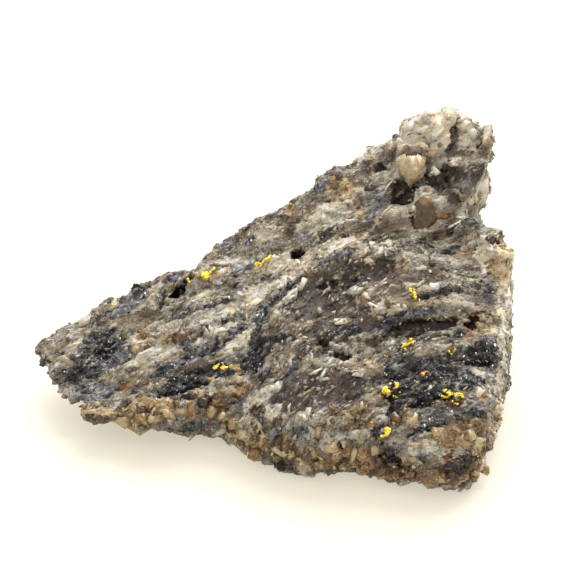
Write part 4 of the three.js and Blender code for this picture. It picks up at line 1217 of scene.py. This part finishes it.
# %% Sugary grains
# a cloud gathers them in clusters 2 mm wide; sizes in mm, density in grains per square mm
CLUSTER_SIZE = 2.2
SUGAR_DENSITY = 4.0
clusters = eased(cloud(skin_points, CLUSTER_SIZE, 104) + 0.25, 0, 0.35)
in_crust = ground["honey"] * low_edge_of(skin_points) * clusters
at = spots(in_crust * SUGAR_DENSITY, spacing=0.6, seed=101)
sizes = grain_sizes(len(at), smallest=0.26, largest=1.05, seed=102)
sugar = joined_grains("sugary_quartz_edge", crystal_moulds, at, sizes, sink=sizes[:, 2] * 0.35, seed=103)[0]
sugar.data.materials.append(sugar_quartz)

# %% [markdown]
# ## Splinters of the stone itself
# A break through quartz is a mosaic of small plates, each with its own tilt and tone and a sharp edge. The
# skin's own relief has the tilts but not the edges, as its squares are too large. So thin many-cornered
# plates are laid on it along the bands. Each takes the ground under it and the same stone material, a little
# lighter or darker than its neighbour. Smoky quartz breaks smooth, so it carries fewer.

# %% Splinters and blocks
# a grain right on an edge of the rock is only this share of its size
EDGE_SIZE = 0.2


def carry_fields(piece, fields):
    """Gives a piece the stone's material, the fields that drive it, and its place in the bands."""
    keep_fields(piece.data, fields, in_bands(numbers_of(piece.data.vertices, "co", 3) / MM))
    piece.data.materials.append(stone)


def stone_grains(name, density, spacing, size_range, shape, sink, seed, swing, spin, lean):
    """Grains of the stone itself: they take the fields of the skin under them and a tone of their own."""
    at = spots(density, spacing, seed)
    sizes = grain_sizes(len(at), *size_range, seed + 1, shape)
    sizes = sizes * (EDGE_SIZE + (1 - EDGE_SIZE) * flatness[at, None])
    piece, homes, numbers = joined_grains(
        name, small_moulds, at, sizes, sizes[:, 2] * sink, seed + 2, spin, lean)
    fields = {kind: ground[kind][homes] for kind in KEPT_FIELDS}
    fields["tone"] = fields["tone"] + swing * (numbers * 2 - 1)
    carry_fields(piece, fields)


splinter_density = 5.0 - 3.2 * ground["calm"] + ground["dark"] - 3.0 * ground["honey"]
stone_grains("quartz_splinters", splinter_density, spacing=0.30, size_range=(0.12, 0.62),
             shape=(1.3, 0.75, 0.22), sink=0.7, seed=141, swing=0.14, spin=0.6, lean=0.10)
block_density = 0.5 - 0.4 * ground["calm"] - 0.2 * ground["dark"] + 0.3 * ground["honey"]
stone_grains("quartz_blocks", block_density, spacing=0.9, size_range=(0.30, 0.85),
             shape=(1.2, 0.8, 0.5), sink=0.9, seed=145, swing=0.08, spin=0.6, lean=0.25)

# %% [markdown]
# ## Pale flakes on the broken face
# Where the hammer blow ran along a band, thin splinters of quartz stayed on. Being crushed, they are white
# and nearly opaque, and they catch the light. Pale dots in the stone's colour would do from afar, but real
# flakes keep their glint when the stone is turned. They lie flat and point along the bands.

# %% Pale flakes
FLAKE_TINTS = [(0.0, "#6e6456"), (0.3, "#91866f"), (0.65, "#afa38b"), (1.0, "#cfc5af")]
FLAKE_SHAPE = (1.1, 0.75, 0.25)
FLAKE_DENSITY = 0.8
milky_quartz = grain_quartz("milky_quartz_flakes", FLAKE_TINTS, clear=0.05, roughness=0.35, frost_mm=0.25)
flake_density = 1.2 + (ground["tone"] - 0.5) + 2.4 * ground["smoke"] * (1 - ground["tone"])
flake_density = flake_density - 1.5 * ground["dark"] - 1.5 * ground["honey"]
flake_density = np.clip(flake_density, 0.2, 5) * np.clip(1.6 - 1.6 * ground["calm"], 0, 1)
at = spots(flake_density * FLAKE_DENSITY, spacing=0.32, seed=111)
sizes = grain_sizes(len(at), smallest=0.06, largest=0.36, seed=112, shape=FLAKE_SHAPE)
sizes = sizes * (0.5 + 0.5 * flatness[at, None])
flakes = joined_grains("pale_quartz_flakes", small_moulds, at, sizes, sink=sizes[:, 2] * 0.2, seed=113,
                       spin=1.2, lean=0.35)[0]
flakes.data.materials.append(milky_quartz)

# %% [markdown]
# ## Sulphide grains in the dark bands
# The dark bands are a felt of tiny sulphide crystals with bright faces. They are drawn about twice as large
# as they are, 0.1 to 0.3 mm, because finer ones would be lost in the camera's view. A noise in the material
# could make bright dots, but real faces look every way, so a few of them always mirror the lamp: that is the
# glitter. The palest grains are tinted near white as well, which adds painted glints to it.

# %% Sulphide grains
# fine-grained grey sulphide: a metal with a blue-black body and bright faces, its palest tints painted
# glints
SULPHIDE_TINTS = [(0.0, "#09090c"), (0.4, "#1e2028"), (0.65, "#4c505b"), (0.82, "#9ea2aa"), (1.0, "#f4f6f8")]
sulphide, sulphide_output = new_material("blue_grey_sulphide")
number = add(sulphide, "ShaderNodeAttribute", attribute_name="grain_number").outputs["Fac"]
body = add(sulphide, "ShaderNodeValToRGB", {"Fac": number}, ramp=SULPHIDE_TINTS).outputs["Color"]
gloss = add(sulphide, "ShaderNodeMapRange", {
    "Value": number, "To Min": 0.5, "To Max": 0.22}).outputs["Result"]
metal = add(sulphide, "ShaderNodeBsdfPrincipled", {"Base Color": body, "Roughness": gloss, "Metallic": 0.7})
sulphide.node_tree.links.new(metal.outputs["BSDF"], sulphide_output.inputs["Surface"])

SULPHIDE_DENSITY = 12.0
in_dark_bands = eased(ground["dark"], 0.4, 0.9) * eased(0.5 - ground["tone"], 0, 0.15)
at = spots(in_dark_bands * SULPHIDE_DENSITY, spacing=0.17, seed=121)
sizes = grain_sizes(len(at), smallest=0.06, largest=0.19, seed=122)
dark_grains = joined_grains("sulphide_grains", small_moulds, at, sizes, sink=sizes[:, 2] * 0.1, seed=123)[0]
dark_grains.data.materials.append(sulphide)

# %% [markdown]
# ## Single crystals that the eye finds
# Some crystals and plates are large enough to be known one by one: the honey-coloured one with its point
# down below the peak, the smoky oval one under it, the glassy blocks of the peak, the knobs of the crust.
# They could be parts of the CAD model, but they stand out by a few tenths of a millimetre only. So each is a
# lump with flat faces, half sunk in the rock and lying in its face, and it grows out of the stone from any
# side. Most are of the stone's own material and carry their ground and tone as the skin does. The clear ones
# in the crust, the pointed one and the smoky ones are of the sugary quartz.

# %% Crystals of the peak and the wing
# ground, tone, vx, vy, length and width in dots, slope in degrees
PEAK_CRYSTALS = [
    ("milk", 0.84, 432, 114, 24, 12, 10), ("honey", 0.66, 430, 115, 12, 7, 10),
    ("smoke", 0.66, 425, 124, 16, 7, 30), ("milk", 0.76, 410, 127, 16, 10, 40),
    ("smoke", 0.58, 415, 134, 18, 7, 20), ("milk", 0.95, 424, 130, 14, 8, 50),
    ("smoke", 0.50, 425, 138, 8, 6, 80), ("milk", 0.95, 438, 131, 25, 11, 75),
    ("honey", 0.66, 421, 146, 14, 8, -20), ("smoke", 0.38, 413, 153, 24, 12, 10),
    ("smoke", 0.36, 402, 157, 14, 10, 50), ("smoke", 0.44, 425, 158, 16, 11, -30),
    ("smoke", 0.58, 390, 147, 16, 12, 60), ("smoke", 0.32, 392, 156, 8, 6, 0),
    ("milk", 0.86, 400, 141, 10, 8, 0), ("honey", 0.62, 432, 153, 14, 10, 20),
    ("smoke", 0.58, 441, 146, 11, 10, 0), ("smoke", 0.36, 453, 130, 16, 9, 85),
    ("dark", 0.20, 450, 147, 14, 9, 80), ("milk", 0.86, 464, 124, 17, 14, -40),
    ("milk", 0.84, 472, 134, 15, 11, -60), ("milk", 0.92, 467, 139, 9, 6, 80),
    ("smoke", 0.46, 468, 154, 17, 9, 5), ("milk", 0.88, 466, 146, 13, 5, 0),
    ("smoke", 0.22, 482, 144, 13, 5, 70), ("smoke", 0.60, 489, 138, 30, 12, 85),
    ("milk", 0.66, 484, 162, 12, 8, 30), ("milk", 0.92, 485, 185, 26, 11, 80),
    ("milk", 0.84, 453, 163, 12, 6, -5), ("milk", 0.88, 435, 171, 12, 8, -45),
    # the near-black crystals below the crest are partly painted shade between its plates
    ("smoke", 0.14, 450, 178, 13, 10, 0), ("smoke", 0.10, 462, 173, 11, 8, 10),
    ("smoke", 0.20, 474, 174, 12, 8, 40), ("smoke", 0.15, 441, 183, 24, 6, -40),
    ("smoke", 0.32, 455, 191, 14, 7, -10), ("smoke", 0.38, 463, 198, 10, 9, 0),
    ("honey", 0.76, 471, 201, 12, 8, 60), ("honey", 0.68, 478, 200, 24, 7, 80),
    ("milk", 0.90, 398, 172, 28, 5, 62), ("milk", 0.74, 388, 187, 30, 4, 58),
    ("smoke", 0.55, 430, 194, 18, 14, -40), ("honey", 0.52, 447, 213, 13, 9, 0),
    ("milk", 0.92, 460, 218, 9, 4, -20), ("dark", 0.26, 470, 222, 15, 9, -20),
    ("milk", 0.86, 455, 224, 20, 3, 30), ("dark", 0.24, 452, 230, 24, 7, 25),
    ("smoke", 0.60, 394, 216, 26, 13, 20), ("smoke", 0.44, 399, 228, 22, 12, -20),
    ("honey", 0.52, 396, 233, 13, 6, -55), ("milk", 0.86, 384, 213, 26, 4, 40),
    ("dark", 0.46, 371, 218, 16, 8, 65),
]
WING_CRYSTALS = [
    ("smoke", 0.52, 51, 346, 20, 16, 20), ("smoke", 0.68, 66, 361, 20, 14, 10),
    ("smoke", 0.30, 55, 352, 20, 4, 8), ("dark", 0.20, 45, 361, 12, 6, 0),
    ("milk", 0.74, 80, 323, 30, 9, 25), ("dark", 0.16, 137, 288, 14, 6, 10),
    ("dark", 0.28, 108, 303, 9, 6, 60), ("honey", 0.82, 115, 301, 9, 7, 50),
    ("milk", 0.80, 154, 293, 15, 10, 60), ("milk", 0.66, 168, 295, 8, 8, 0),
    ("honey", 0.66, 221, 273, 17, 8, 30), ("dark", 0.50, 240, 268, 26, 12, 35),
    ("milk", 0.86, 290, 263, 14, 8, 0), ("milk", 0.92, 298, 262, 8, 6, 0),
    ("honey", 0.84, 273, 258, 14, 7, 30), ("milk", 0.88, 325, 209, 11, 8, 0),
    ("milk", 0.84, 322, 222, 11, 7, 20), ("milk", 0.80, 317, 246, 19, 10, 15),
    ("milk", 0.84, 343, 197, 8, 6, 60), ("dark", 0.44, 336, 185, 14, 10, 0),
    ("dark", 0.36, 320, 191, 12, 9, 60), ("dark", 0.42, 304, 232, 15, 9, 30),
    ("dark", 0.44, 228, 248, 12, 9, 0), ("smoke", 0.34, 236, 237, 6, 6, 0),
    ("honey", 0.52, 293, 208, 22, 7, 65), ("honey", 0.38, 226, 295, 9, 7, 0),
    ("milk", 0.80, 141, 357, 30, 7, 38), ("milk", 0.86, 252, 303, 34, 7, 25),
    ("milk", 0.88, 268, 287, 30, 8, 20), ("honey", 0.42, 143, 334, 13, 8, 30),
    ("milk", 0.74, 168, 326, 16, 8, 10), ("dark", 0.10, 103, 352, 14, 5, 10),
    ("dark", 0.08, 124, 364, 9, 6, 20), ("dark", 0.40, 104, 366, 16, 8, 20),
    ("dark", 0.42, 112, 345, 18, 7, 20), ("dark", 0.44, 120, 312, 26, 7, 40),
    ("milk", 0.78, 204, 322, 14, 6, 20), ("milk", 0.76, 222, 318, 14, 6, 20),
    ("dark", 0.44, 225, 280, 12, 7, 30),
]
print(len(PEAK_CRYSTALS), "crystals on the peak,", len(WING_CRYSTALS), "on the wing")

# %% Crystals of the crust and the block
CRUST_CRYSTALS = [
    ("honey", 0.80, 90, 413, 22, 8, -5), ("honey", 0.46, 143, 421, 17, 14, 0),
    ("honey", 0.76, 150, 404, 18, 10, 0), ("honey", 0.80, 166, 414, 22, 10, 0),
    ("honey", 0.90, 154, 411, 9, 6, 60), ("honey", 0.70, 181, 412, 20, 10, 0),
    ("honey", 0.46, 168, 401, 20, 8, -30), ("rust", 0.30, 178, 404, 12, 8, -45),
    ("honey", 0.72, 200, 408, 14, 10, 0), ("honey", 0.50, 216, 402, 12, 9, 20),
    ("honey", 0.80, 208, 395, 12, 6, 30), ("honey", 0.80, 222, 417, 14, 10, 0),
    ("honey", 0.60, 224, 427, 12, 9, 0), ("dark", 0.10, 230, 430, 8, 6, 80),
    ("honey", 0.98, 243, 434, 18, 14, 0), ("honey", 0.96, 262, 440, 16, 12, 20),
    ("honey", 0.92, 256, 427, 14, 11, 60), ("honey", 0.86, 250, 447, 14, 10, 0),
    ("milk", 0.96, 233, 421, 9, 5, 10), ("honey", 0.66, 330, 446, 17, 14, 0),
    ("honey", 0.80, 357, 456, 17, 15, 50), ("honey", 0.54, 337, 464, 12, 9, 0),
    ("honey", 0.48, 312, 455, 14, 12, 0), ("honey", 0.64, 299, 462, 11, 9, 0),
    ("smoke", 0.42, 322, 463, 10, 9, 0), ("honey", 0.46, 366, 467, 12, 9, 0),
    ("honey", 0.72, 375, 451, 12, 12, 0), ("rust", 0.22, 392, 466, 14, 9, -10),
    ("rust", 0.38, 385, 457, 10, 7, 0), ("honey", 0.66, 383, 477, 16, 8, 0),
    ("milk", 0.62, 416, 462, 20, 12, 10), ("honey", 0.78, 412, 447, 18, 9, 0),
    ("honey", 0.74, 426, 443, 14, 9, 0), ("milk", 0.72, 438, 431, 18, 11, 0),
    ("honey", 0.78, 466, 438, 26, 15, 15), ("honey", 0.80, 481, 446, 20, 12, 80),
    ("smoke", 0.22, 455, 463, 16, 14, 0), ("smoke", 0.12, 467, 466, 8, 8, 0),
    ("dark", 0.16, 448, 476, 14, 9, 0), ("rust", 0.32, 456, 481, 16, 6, 0),
    ("honey", 0.84, 481, 464, 18, 11, 75), ("honey", 0.64, 415, 478, 22, 6, 0),
    ("honey", 0.74, 411, 418, 15, 13, 0),
]
BLOCK_CRYSTALS = [
    ("milk", 0.85, 326, 291, 9, 4, 35), ("milk", 0.88, 366, 296, 10, 8, 0),
    ("milk", 0.92, 365, 284, 5, 5, 0), ("milk", 0.86, 353, 293, 13, 4, 5),
    ("milk", 0.80, 363, 277, 8, 3, 20), ("milk", 0.88, 378, 251, 14, 8, -10),
    ("milk", 0.92, 387, 250, 10, 8, 80), ("milk", 0.88, 370, 244, 12, 6, 20),
    ("honey", 0.72, 370, 262, 10, 6, 0), ("milk", 0.86, 340, 321, 17, 7, 10),
    ("milk", 0.80, 333, 313, 10, 4, 30), ("milk", 0.84, 345, 345, 8, 6, 0),
    ("milk", 0.82, 334, 345, 12, 3, -10), ("milk", 0.80, 331, 352, 8, 5, 30),
    ("milk", 0.84, 311, 356, 10, 6, -60), ("milk", 0.80, 295, 343, 12, 4, 30),
    ("milk", 0.86, 315, 372, 5, 5, 0), ("milk", 0.80, 325, 379, 10, 3, 5),
    ("milk", 0.88, 355, 373, 18, 6, -10), ("milk", 0.70, 317, 389, 10, 6, 10),
    ("milk", 0.72, 323, 412, 10, 5, 0), ("milk", 0.86, 303, 417, 12, 7, 0),
    ("milk", 0.86, 328, 419, 16, 6, 10), ("milk", 0.72, 285, 417, 10, 7, 0),
    ("milk", 0.88, 263, 398, 26, 8, 35), ("milk", 0.82, 276, 388, 14, 6, 40),
    ("milk", 0.82, 289, 296, 26, 5, 48), ("milk", 0.74, 283, 312, 10, 6, 50),
    ("milk", 0.74, 298, 313, 8, 6, 80), ("milk", 0.76, 375, 306, 20, 4, -20),
    ("milk", 0.76, 395, 310, 22, 4, 5), ("honey", 0.76, 377, 317, 14, 6, 0),
    ("milk", 0.88, 385, 281, 14, 6, 30), ("milk", 0.86, 434, 286, 12, 8, 0),
    ("honey", 0.44, 405, 268, 12, 10, 60), ("honey", 0.70, 370, 360, 18, 9, 10),
    ("milk", 0.84, 428, 388, 10, 6, 20), ("dark", 0.44, 397, 364, 18, 9, 10),
    ("dark", 0.42, 432, 361, 16, 6, 5), ("dark", 0.24, 486, 345, 12, 12, 60),
    ("dark", 0.46, 474, 407, 18, 10, 25), ("dark", 0.44, 404, 405, 16, 8, 20),
    ("milk", 0.88, 480, 250, 24, 5, 66), ("milk", 0.86, 472, 243, 20, 4, 32),
    ("smoke", 0.28, 491, 239, 14, 9, -50), ("milk", 0.95, 490, 252, 16, 10, -30),
    ("honey", 0.82, 502, 264, 26, 10, -70), ("milk", 0.86, 487, 262, 22, 4, 66),
    ("honey", 0.60, 462, 252, 14, 9, 40), ("honey", 0.84, 499, 312, 12, 5, 70),
    ("milk", 0.86, 507, 300, 30, 5, 84), ("milk", 0.84, 502, 345, 34, 5, 84),
    ("milk", 0.82, 506, 372, 26, 5, 82), ("milk", 0.80, 478, 392, 18, 10, 50),
]
print(len(CRUST_CRYSTALS), "crystals in the crust,", len(BLOCK_CRYSTALS), "on the block")

# %% The pointed crystal and the smoky ones
# the crystal with its point down is three plates side by side, each with the same corners
POINTED = [
    ("honey", 0.78, 405, 172, 28, 12, -66), ("honey", 0.64, 417, 171, 27, 12, -118),
    ("honey", 0.92, 411, 174, 28, 12, -90),
]
POINT_CORNERS = [
    (-1.0, -0.7, -1.0), (-1.0, 0.7, -1.0), (-0.6, -0.9, -0.1), (-0.5, 0.9, -0.1), (-0.2, -0.3, 0.6),
    (-0.1, 0.45, 0.6), (0.1, -0.9, -0.1), (0.2, 0.85, -0.1), (0.35, -0.1, 0.5), (0.5, 0.5, 0.1),
    (0.55, -0.5, 0.1), (1.0, 0.05, -0.2),
]
SMOKY = [
    ("honey", 0.20, 425, 217, 38, 27, 82), ("honey", 0.48, 427, 202, 16, 13, 10),
    ("honey", 0.36, 444, 214, 18, 12, 20),
]
pointed_mould = hull(POINT_CORNERS)
smoky_mould = mould(80, 44, 0.12)
print("faces of a pointed plate:", len(pointed_mould[1]), "and of a smoky crystal:", len(smoky_mould[1]))

# %% Lay one crystal in the rock
# a crystal is as thick as this share of its narrow side, and sunk by this share of its half thickness
THICKNESS = 0.45
CRYSTAL_SINK = 0.4
# the moulds are a little narrower than the spots they fill
MOULD_SPREAD = 1.15
STEEPEST = 0.62
TURN_SWING = 6
TONE_SWING = 0.04
CRYSTAL_INSET = 0.03
skin_tree = rock_tree(skin)


def lying(direction, out):
    """The direction in the rock's face that looks like this one from the camera."""
    facing = min(-STEEPEST, float(look @ out))
    return direction - look * float(direction @ out) / facing


def in_view(slope):
    """Two directions across the view: along the slope (degrees) and at right angles to it."""
    turn = math.radians(slope)
    along = view_right * math.cos(turn) + view_up * math.sin(turn)
    side = view_up * math.cos(turn) - view_right * math.sin(turn)
    return along, side


def crystal_points(shape, out, vx, vy, length, width, slope):
    """The mould's corners in mm, where a crystal of this size lies in the rock's face."""
    place, _ = seen_at(skin_tree, vx, vy)
    along, side = in_view(slope)
    half = np.array([length, width, THICKNESS * min(length, width)]) * DOT / 2 * MOULD_SPREAD
    axes = np.stack([lying(along, out), lying(side, out), out])
    points = (shape * half) @ axes + place - out * half[2] * CRYSTAL_SINK
    points -= np.maximum(points.max(axis=0) - (box_high - CRYSTAL_INSET), 0)
    points += np.maximum(box_low + CRYSTAL_INSET - points.min(axis=0), 0)
    return points


_, middle_out = seen_at(smooth_tree, VIEW_DOTS / 2, VIEW_DOTS / 2)
print("right in the view, lying in the rock:", lying(view_right, middle_out).round(2))

# %% Grow the crystals
def placed_crystals(name, crystals, moulds, seed, clear_quartz=None):
    """One mesh of crystals, of the stone itself unless told."""
    draw = np.random.default_rng(seed)
    all_points = []
    all_triangles = []
    fields = {field: [] for field in KEPT_FIELDS}
    grown = 0
    for kind, tone, vx, vy, length, width, slope in crystals:
        _, out = seen_at(smooth_tree, vx, vy)
        slope += draw.uniform(-TURN_SWING, TURN_SWING)
        shape, triangles = moulds[draw.integers(0, len(moulds))]
        own_tone = tone + draw.uniform(-TONE_SWING, TONE_SWING)
        all_points.append(crystal_points(shape, out, vx, vy, length, width, slope))
        all_triangles.append(triangles + grown)
        for field in KEPT_FIELDS:
            value = own_tone if field == "tone" else float(field in (kind, "calm"))
            fields[field].append(np.full(len(shape), value))
        grown += len(shape)
    fields = {field: np.concatenate(values) for field, values in fields.items()}
    piece = mesh_piece(name, np.concatenate(all_points), np.concatenate(all_triangles), fields["tone"])
    if clear_quartz:
        piece.data.materials.append(clear_quartz)
    else:
        carry_fields(piece, fields)


placed_crystals("peak_crystals", PEAK_CRYSTALS, crystal_moulds, 131)
placed_crystals("wing_crystals", WING_CRYSTALS, crystal_moulds, 132)
placed_crystals("crust_crystals", CRUST_CRYSTALS, crystal_moulds, 133, sugar_quartz)
placed_crystals("block_crystals", BLOCK_CRYSTALS, crystal_moulds, 134)
placed_crystals("pointed_crystal", POINTED, [pointed_mould], 135, sugar_quartz)
placed_crystals("smoky_crystals", SMOKY, [smoky_mould], 136, sugar_quartz)

# %% [markdown]
# ## Native gold
# Native gold grows between quartz grains, so it takes crooked, hackly shapes: torn leaves, knobs and little
# curls. It is soft and never rusts, so its skin stays bright but finely crumpled, and the eye sees a yellow
# metal with darker hollows. Here the shade in the hollows of its fine crinkles and the light on their crests
# are painted into its colour. One grain is redder, as gold with some copper in it is. One bumpy ball would
# look cast. So each grain here is made of a few overlapping knobs, wrapped into one skin and crumpled, and
# it stands for the plain CAD grain at the same place.

# %% Material of the gold
# in mm; the crinkles of real gold are finer than a dot of the view, so they are drawn coarser
CRINKLE_SIZE = 0.12
CRINKLE_DEPTH = 0.04


def gold(name, stops):
    """Native gold: soft bright metal, finely crumpled, with painted shade in hollows and painted light on
    crests.
    """
    material, output = new_material(name)
    place = add(material, "ShaderNodeTexCoord").outputs["Object"]
    crumple = add(material, "ShaderNodeTexNoise", {
        "Vector": place, "Scale": 1 / (CRINKLE_SIZE * MM), "Detail": 4.0}).outputs["Fac"]
    # the crumple also sets the bump: the ramp paints shade in its hollows and highlights on its crests
    tint = add(material, "ShaderNodeValToRGB", {"Fac": crumple}, ramp=stops).outputs["Color"]
    bump = add(material, "ShaderNodeBump", {
        "Height": crumple, "Strength": 0.6, "Distance": CRINKLE_DEPTH * MM}).outputs["Normal"]
    metal = add(material, "ShaderNodeBsdfPrincipled", {
        "Base Color": tint, "Metallic": 1.0, "Roughness": 0.3, "Normal": bump})
    material.node_tree.links.new(metal.outputs["BSDF"], output.inputs["Surface"])
    return material


# each ramp runs from painted shade through the metal's own colour to a painted highlight
bright_gold = gold("native_gold", [(0.34, "#94700f"), (0.46, "#ecc730"), (0.64, "#fff58c")])
copper_gold = gold("coppery_native_gold", [(0.30, "#7d3f16"), (0.48, "#d08a45"), (0.65, "#f4c184")])
print("gold materials:", bright_gold.name, "and", copper_gold.name)

# %% List the knobs of gold
# vx, vy, length and width in dots, slope in degrees
GOLD_LOBES = {
    "gold_grain_wing_bright": [
        (206, 276, 9, 8, -60), (206, 276, 6, 8, 20), (211, 272, 5, 2.6, 45), (213.6, 269.5, 4, 3.2, 0),
    ],
    "gold_grain_wing_small": [(190.2, 281.8, 4, 5, 20), (188.6, 280.0, 2.6, 2, 0)],
    "gold_leaf_wing_long": [
        (258.6, 266, 5.5, 4.6, 0), (262.5, 263.8, 7, 3.4, 35), (267, 261, 8, 4, 35),
        (270.4, 258.8, 4.4, 3.2, 35),
    ],
    "gold_cluster_wing_low": [
        (218.6, 367, 9, 3.4, 22), (223, 364.6, 7.5, 2.4, 110), (226, 368.6, 8, 4, -5),
        (229.5, 367.4, 3.4, 3.2, 0),
    ],
    "gold_grain_block_top": [
        (413.7, 296.6, 7.5, 4.4, 100), (411.4, 290.6, 4, 3, 60), (415, 291, 3, 1.8, 30),
        (413, 293, 3.4, 2.2, 90),
    ],
    "gold_grain_block_middle": [
        (405.4, 347.6, 6, 4.4, 50), (408.8, 344.4, 6.4, 3.4, 50), (411, 341.4, 5, 3, 0),
        (412.6, 344, 2.4, 4, 0),
    ],
    "gold_nugget_block_bright": [
        (386.3, 391.4, 9, 8, 60), (386.3, 391.4, 8, 6, -20), (384.4, 388.8, 4, 3, 0),
    ],
    "gold_grain_block_beside": [(395.4, 388.4, 5, 3.6, 40), (397.2, 385.8, 5, 3.4, -20)],
    "gold_cluster_block_right": [
        (443.6, 395.4, 5, 4, 0), (445, 392, 5, 3, 10), (448.6, 392.6, 5, 3, -20), (449, 396.4, 6, 3.2, 0),
        (453, 394.5, 5, 4, 30), (456.6, 396.6, 5, 3.8, -20), (460, 394.6, 5, 3.2, 10),
        (461.6, 397.4, 3.6, 3, 40),
    ],
    "gold_grain_block_copper": [
        (423, 375.8, 3.4, 3.4, 0), (424.8, 373.2, 7, 2.4, 10), (428, 373.2, 3.2, 2, 0),
    ],
    "gold_nugget_block_low": [(386.8, 432.6, 8, 6.4, 60), (384.6, 435.4, 6, 3.4, 10)],
    "gold_grain_block_faint": [
        (449.6, 352.6, 3.6, 3.2, 20), (452, 355, 2.6, 2, 0), (454, 351.4, 2.4, 2, 40),
    ],
}
# vx, vy of the loose specks
GOLD_SPECKS = [
    (373, 390), (372, 391.5), (463, 389), (465, 388), (195, 378), (210, 379), (385, 357), (231, 237),
    (214, 288), (399, 393), (393, 396.5), (395, 398), (455, 402), (452, 401), (458, 403), (410, 286),
    (418, 299.5), (419.5, 301), (391, 385), (447, 402), (380, 397), (224, 296), (404, 351), (456, 348),
    (420, 305),
]
print(sum(len(knobs) for knobs in GOLD_LOBES.values()), "knobs and", len(GOLD_SPECKS), "specks")

# %% Make the gold grains
# knobs are drawn larger than the seen gold, as the wrap rounds them off, and a little less thick than wide
KNOB_SPREAD = 1.38
KNOB_THICKNESS = 0.8
# in mm: how far their middle stands out of the rock, the cell of the wrap, the size and depth of crumples
KNOB_LIFT = 0.2
GOLD_CELL = 0.045
CRUMPLE_SIZE = 0.40
CRUMPLE_DEPTH = 0.05


def add_knob(build, draw, vx, vy, length, width, slope):
    """Adds one knob of gold to a bmesh, facing the camera, on the rock."""
    place, out = seen_at(skin_tree, vx, vy)
    along, side = in_view(slope)
    shape, triangles = coarse_moulds[draw.integers(0, len(coarse_moulds))]
    half = np.array([length, width, KNOB_THICKNESS * width]) * DOT / 2 * KNOB_SPREAD
    points = (shape * half) @ np.stack([along, side, -look]) + place + out * KNOB_LIFT
    corners = [build.verts.new(point * MM) for point in points]
    for triangle in triangles:
        build.faces.new([corners[i] for i in triangle])


def gold_piece(name, knobs, seed, material):
    """Knobs of gold wrapped into one crumpled skin."""
    draw = np.random.default_rng(seed)
    build = bmesh.new()
    for knob in knobs:
        add_knob(build, draw, *knob)
    rough_mesh = bpy.data.meshes.new(name + "_knobs")
    build.to_mesh(rough_mesh)
    build.free()
    mesh = wrapped(rough_mesh, GOLD_CELL, name)
    points = numbers_of(mesh.vertices, "co", 3) / MM
    crumple = chipped(points, CRUMPLE_SIZE, seed) + 0.5 * chipped(points, CRUMPLE_SIZE / 2, seed + 50)
    crumple = crumple * CRUMPLE_DEPTH
    move_points(mesh, points + normals_of(mesh) * crumple[:, None])
    mesh.materials.clear()
    mesh.materials.append(material)
    piece = bpy.data.objects.new(name, mesh)
    bpy.context.scene.collection.objects.link(piece)
    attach(piece, "root")
    print(name, "has", len(mesh.polygons), "faces")
    return piece


for index, (name, knobs) in enumerate(GOLD_LOBES.items()):
    coppery = name.endswith("copper")
    piece = gold_piece("native_" + name, knobs, 150 + index, copper_gold if coppery else bright_gold)
    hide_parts(name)

# %% Strew the specks
SPECK_LENGTH = 2.6
SPECK_WIDTH = 1.8
speck_draw = np.random.default_rng(171)
speck_knobs = []
for vx, vy in GOLD_SPECKS:
    length = SPECK_LENGTH * speck_draw.uniform(0.6, 1.3)
    width = SPECK_WIDTH * speck_draw.uniform(0.6, 1.2)
    speck_knobs.append((vx, vy, length, width, speck_draw.uniform(0, 180)))
gold_piece("native_gold_specks", speck_knobs, 172, bright_gold)

# %% [markdown]
# ## Table, light and sky
# The specimen lies on a sheet of matt white card, so brightly lit that it burns out to pure white. Raising
# the lamp until that happens would bleach the stone too. So the card glows a little by itself. The sky is a
# warm white, and the shadow at the front turns cream. One large soft lamp behind and above the stone draws
# the glints.

# %% Floor
FLOOR_SIDE = 1.6
CARD_GLOW = 0.49
floor_build = bmesh.new()
bmesh.ops.create_grid(floor_build, x_segments=1, y_segments=1, size=FLOOR_SIDE / 2)
floor_mesh = bpy.data.meshes.new("table_top")
floor_build.to_mesh(floor_mesh)
floor_build.free()
floor = bpy.data.objects.new("table_top", floor_mesh)
bpy.context.scene.collection.objects.link(floor)
floor_material, floor_output = new_material("white_matt_card")
card = add(floor_material, "ShaderNodeBsdfPrincipled", {
    "Base Color": linear("#aeaca8"), "Roughness": 0.9,
    "Emission Color": linear("#fff7e1"), "Emission Strength": CARD_GLOW,
})
floor_material.node_tree.links.new(card.outputs["BSDF"], floor_output.inputs["Surface"])
floor_mesh.materials.append(floor_material)
print("floor", FLOOR_SIDE, "m wide")

# %% Lamp and sky
# metres and watts
LAMP_PLACE = (0.16, 0.54, 0.42)
LAMP_WIDTH = 0.8
LAMP_WATTS = 10.0
SKY_STRENGTH = 1.2
lamp_data = bpy.data.lights.new("soft_lamp", "AREA")
lamp_data.shape = "DISK"
lamp_data.size = LAMP_WIDTH
lamp_data.energy = LAMP_WATTS
lamp_data.color = linear("#fffdf9")[:3]
lamp = bpy.data.objects.new("soft_lamp", lamp_data)
lamp.location = LAMP_PLACE
lamp.rotation_euler = (-lamp.location).to_track_quat("-Z", "Y").to_euler()
bpy.context.scene.collection.objects.link(lamp)

world = bpy.data.worlds.new("warm_white_sky")
world.use_nodes = True
sky = world.node_tree.nodes["Background"]
sky.inputs["Color"].default_value = linear("#fff9ef")
sky.inputs["Strength"].default_value = SKY_STRENGTH
bpy.context.scene.world = world
bpy.context.scene.view_settings.view_transform = "Standard"
print("lamp", LAMP_WATTS, "W, sky", SKY_STRENGTH)
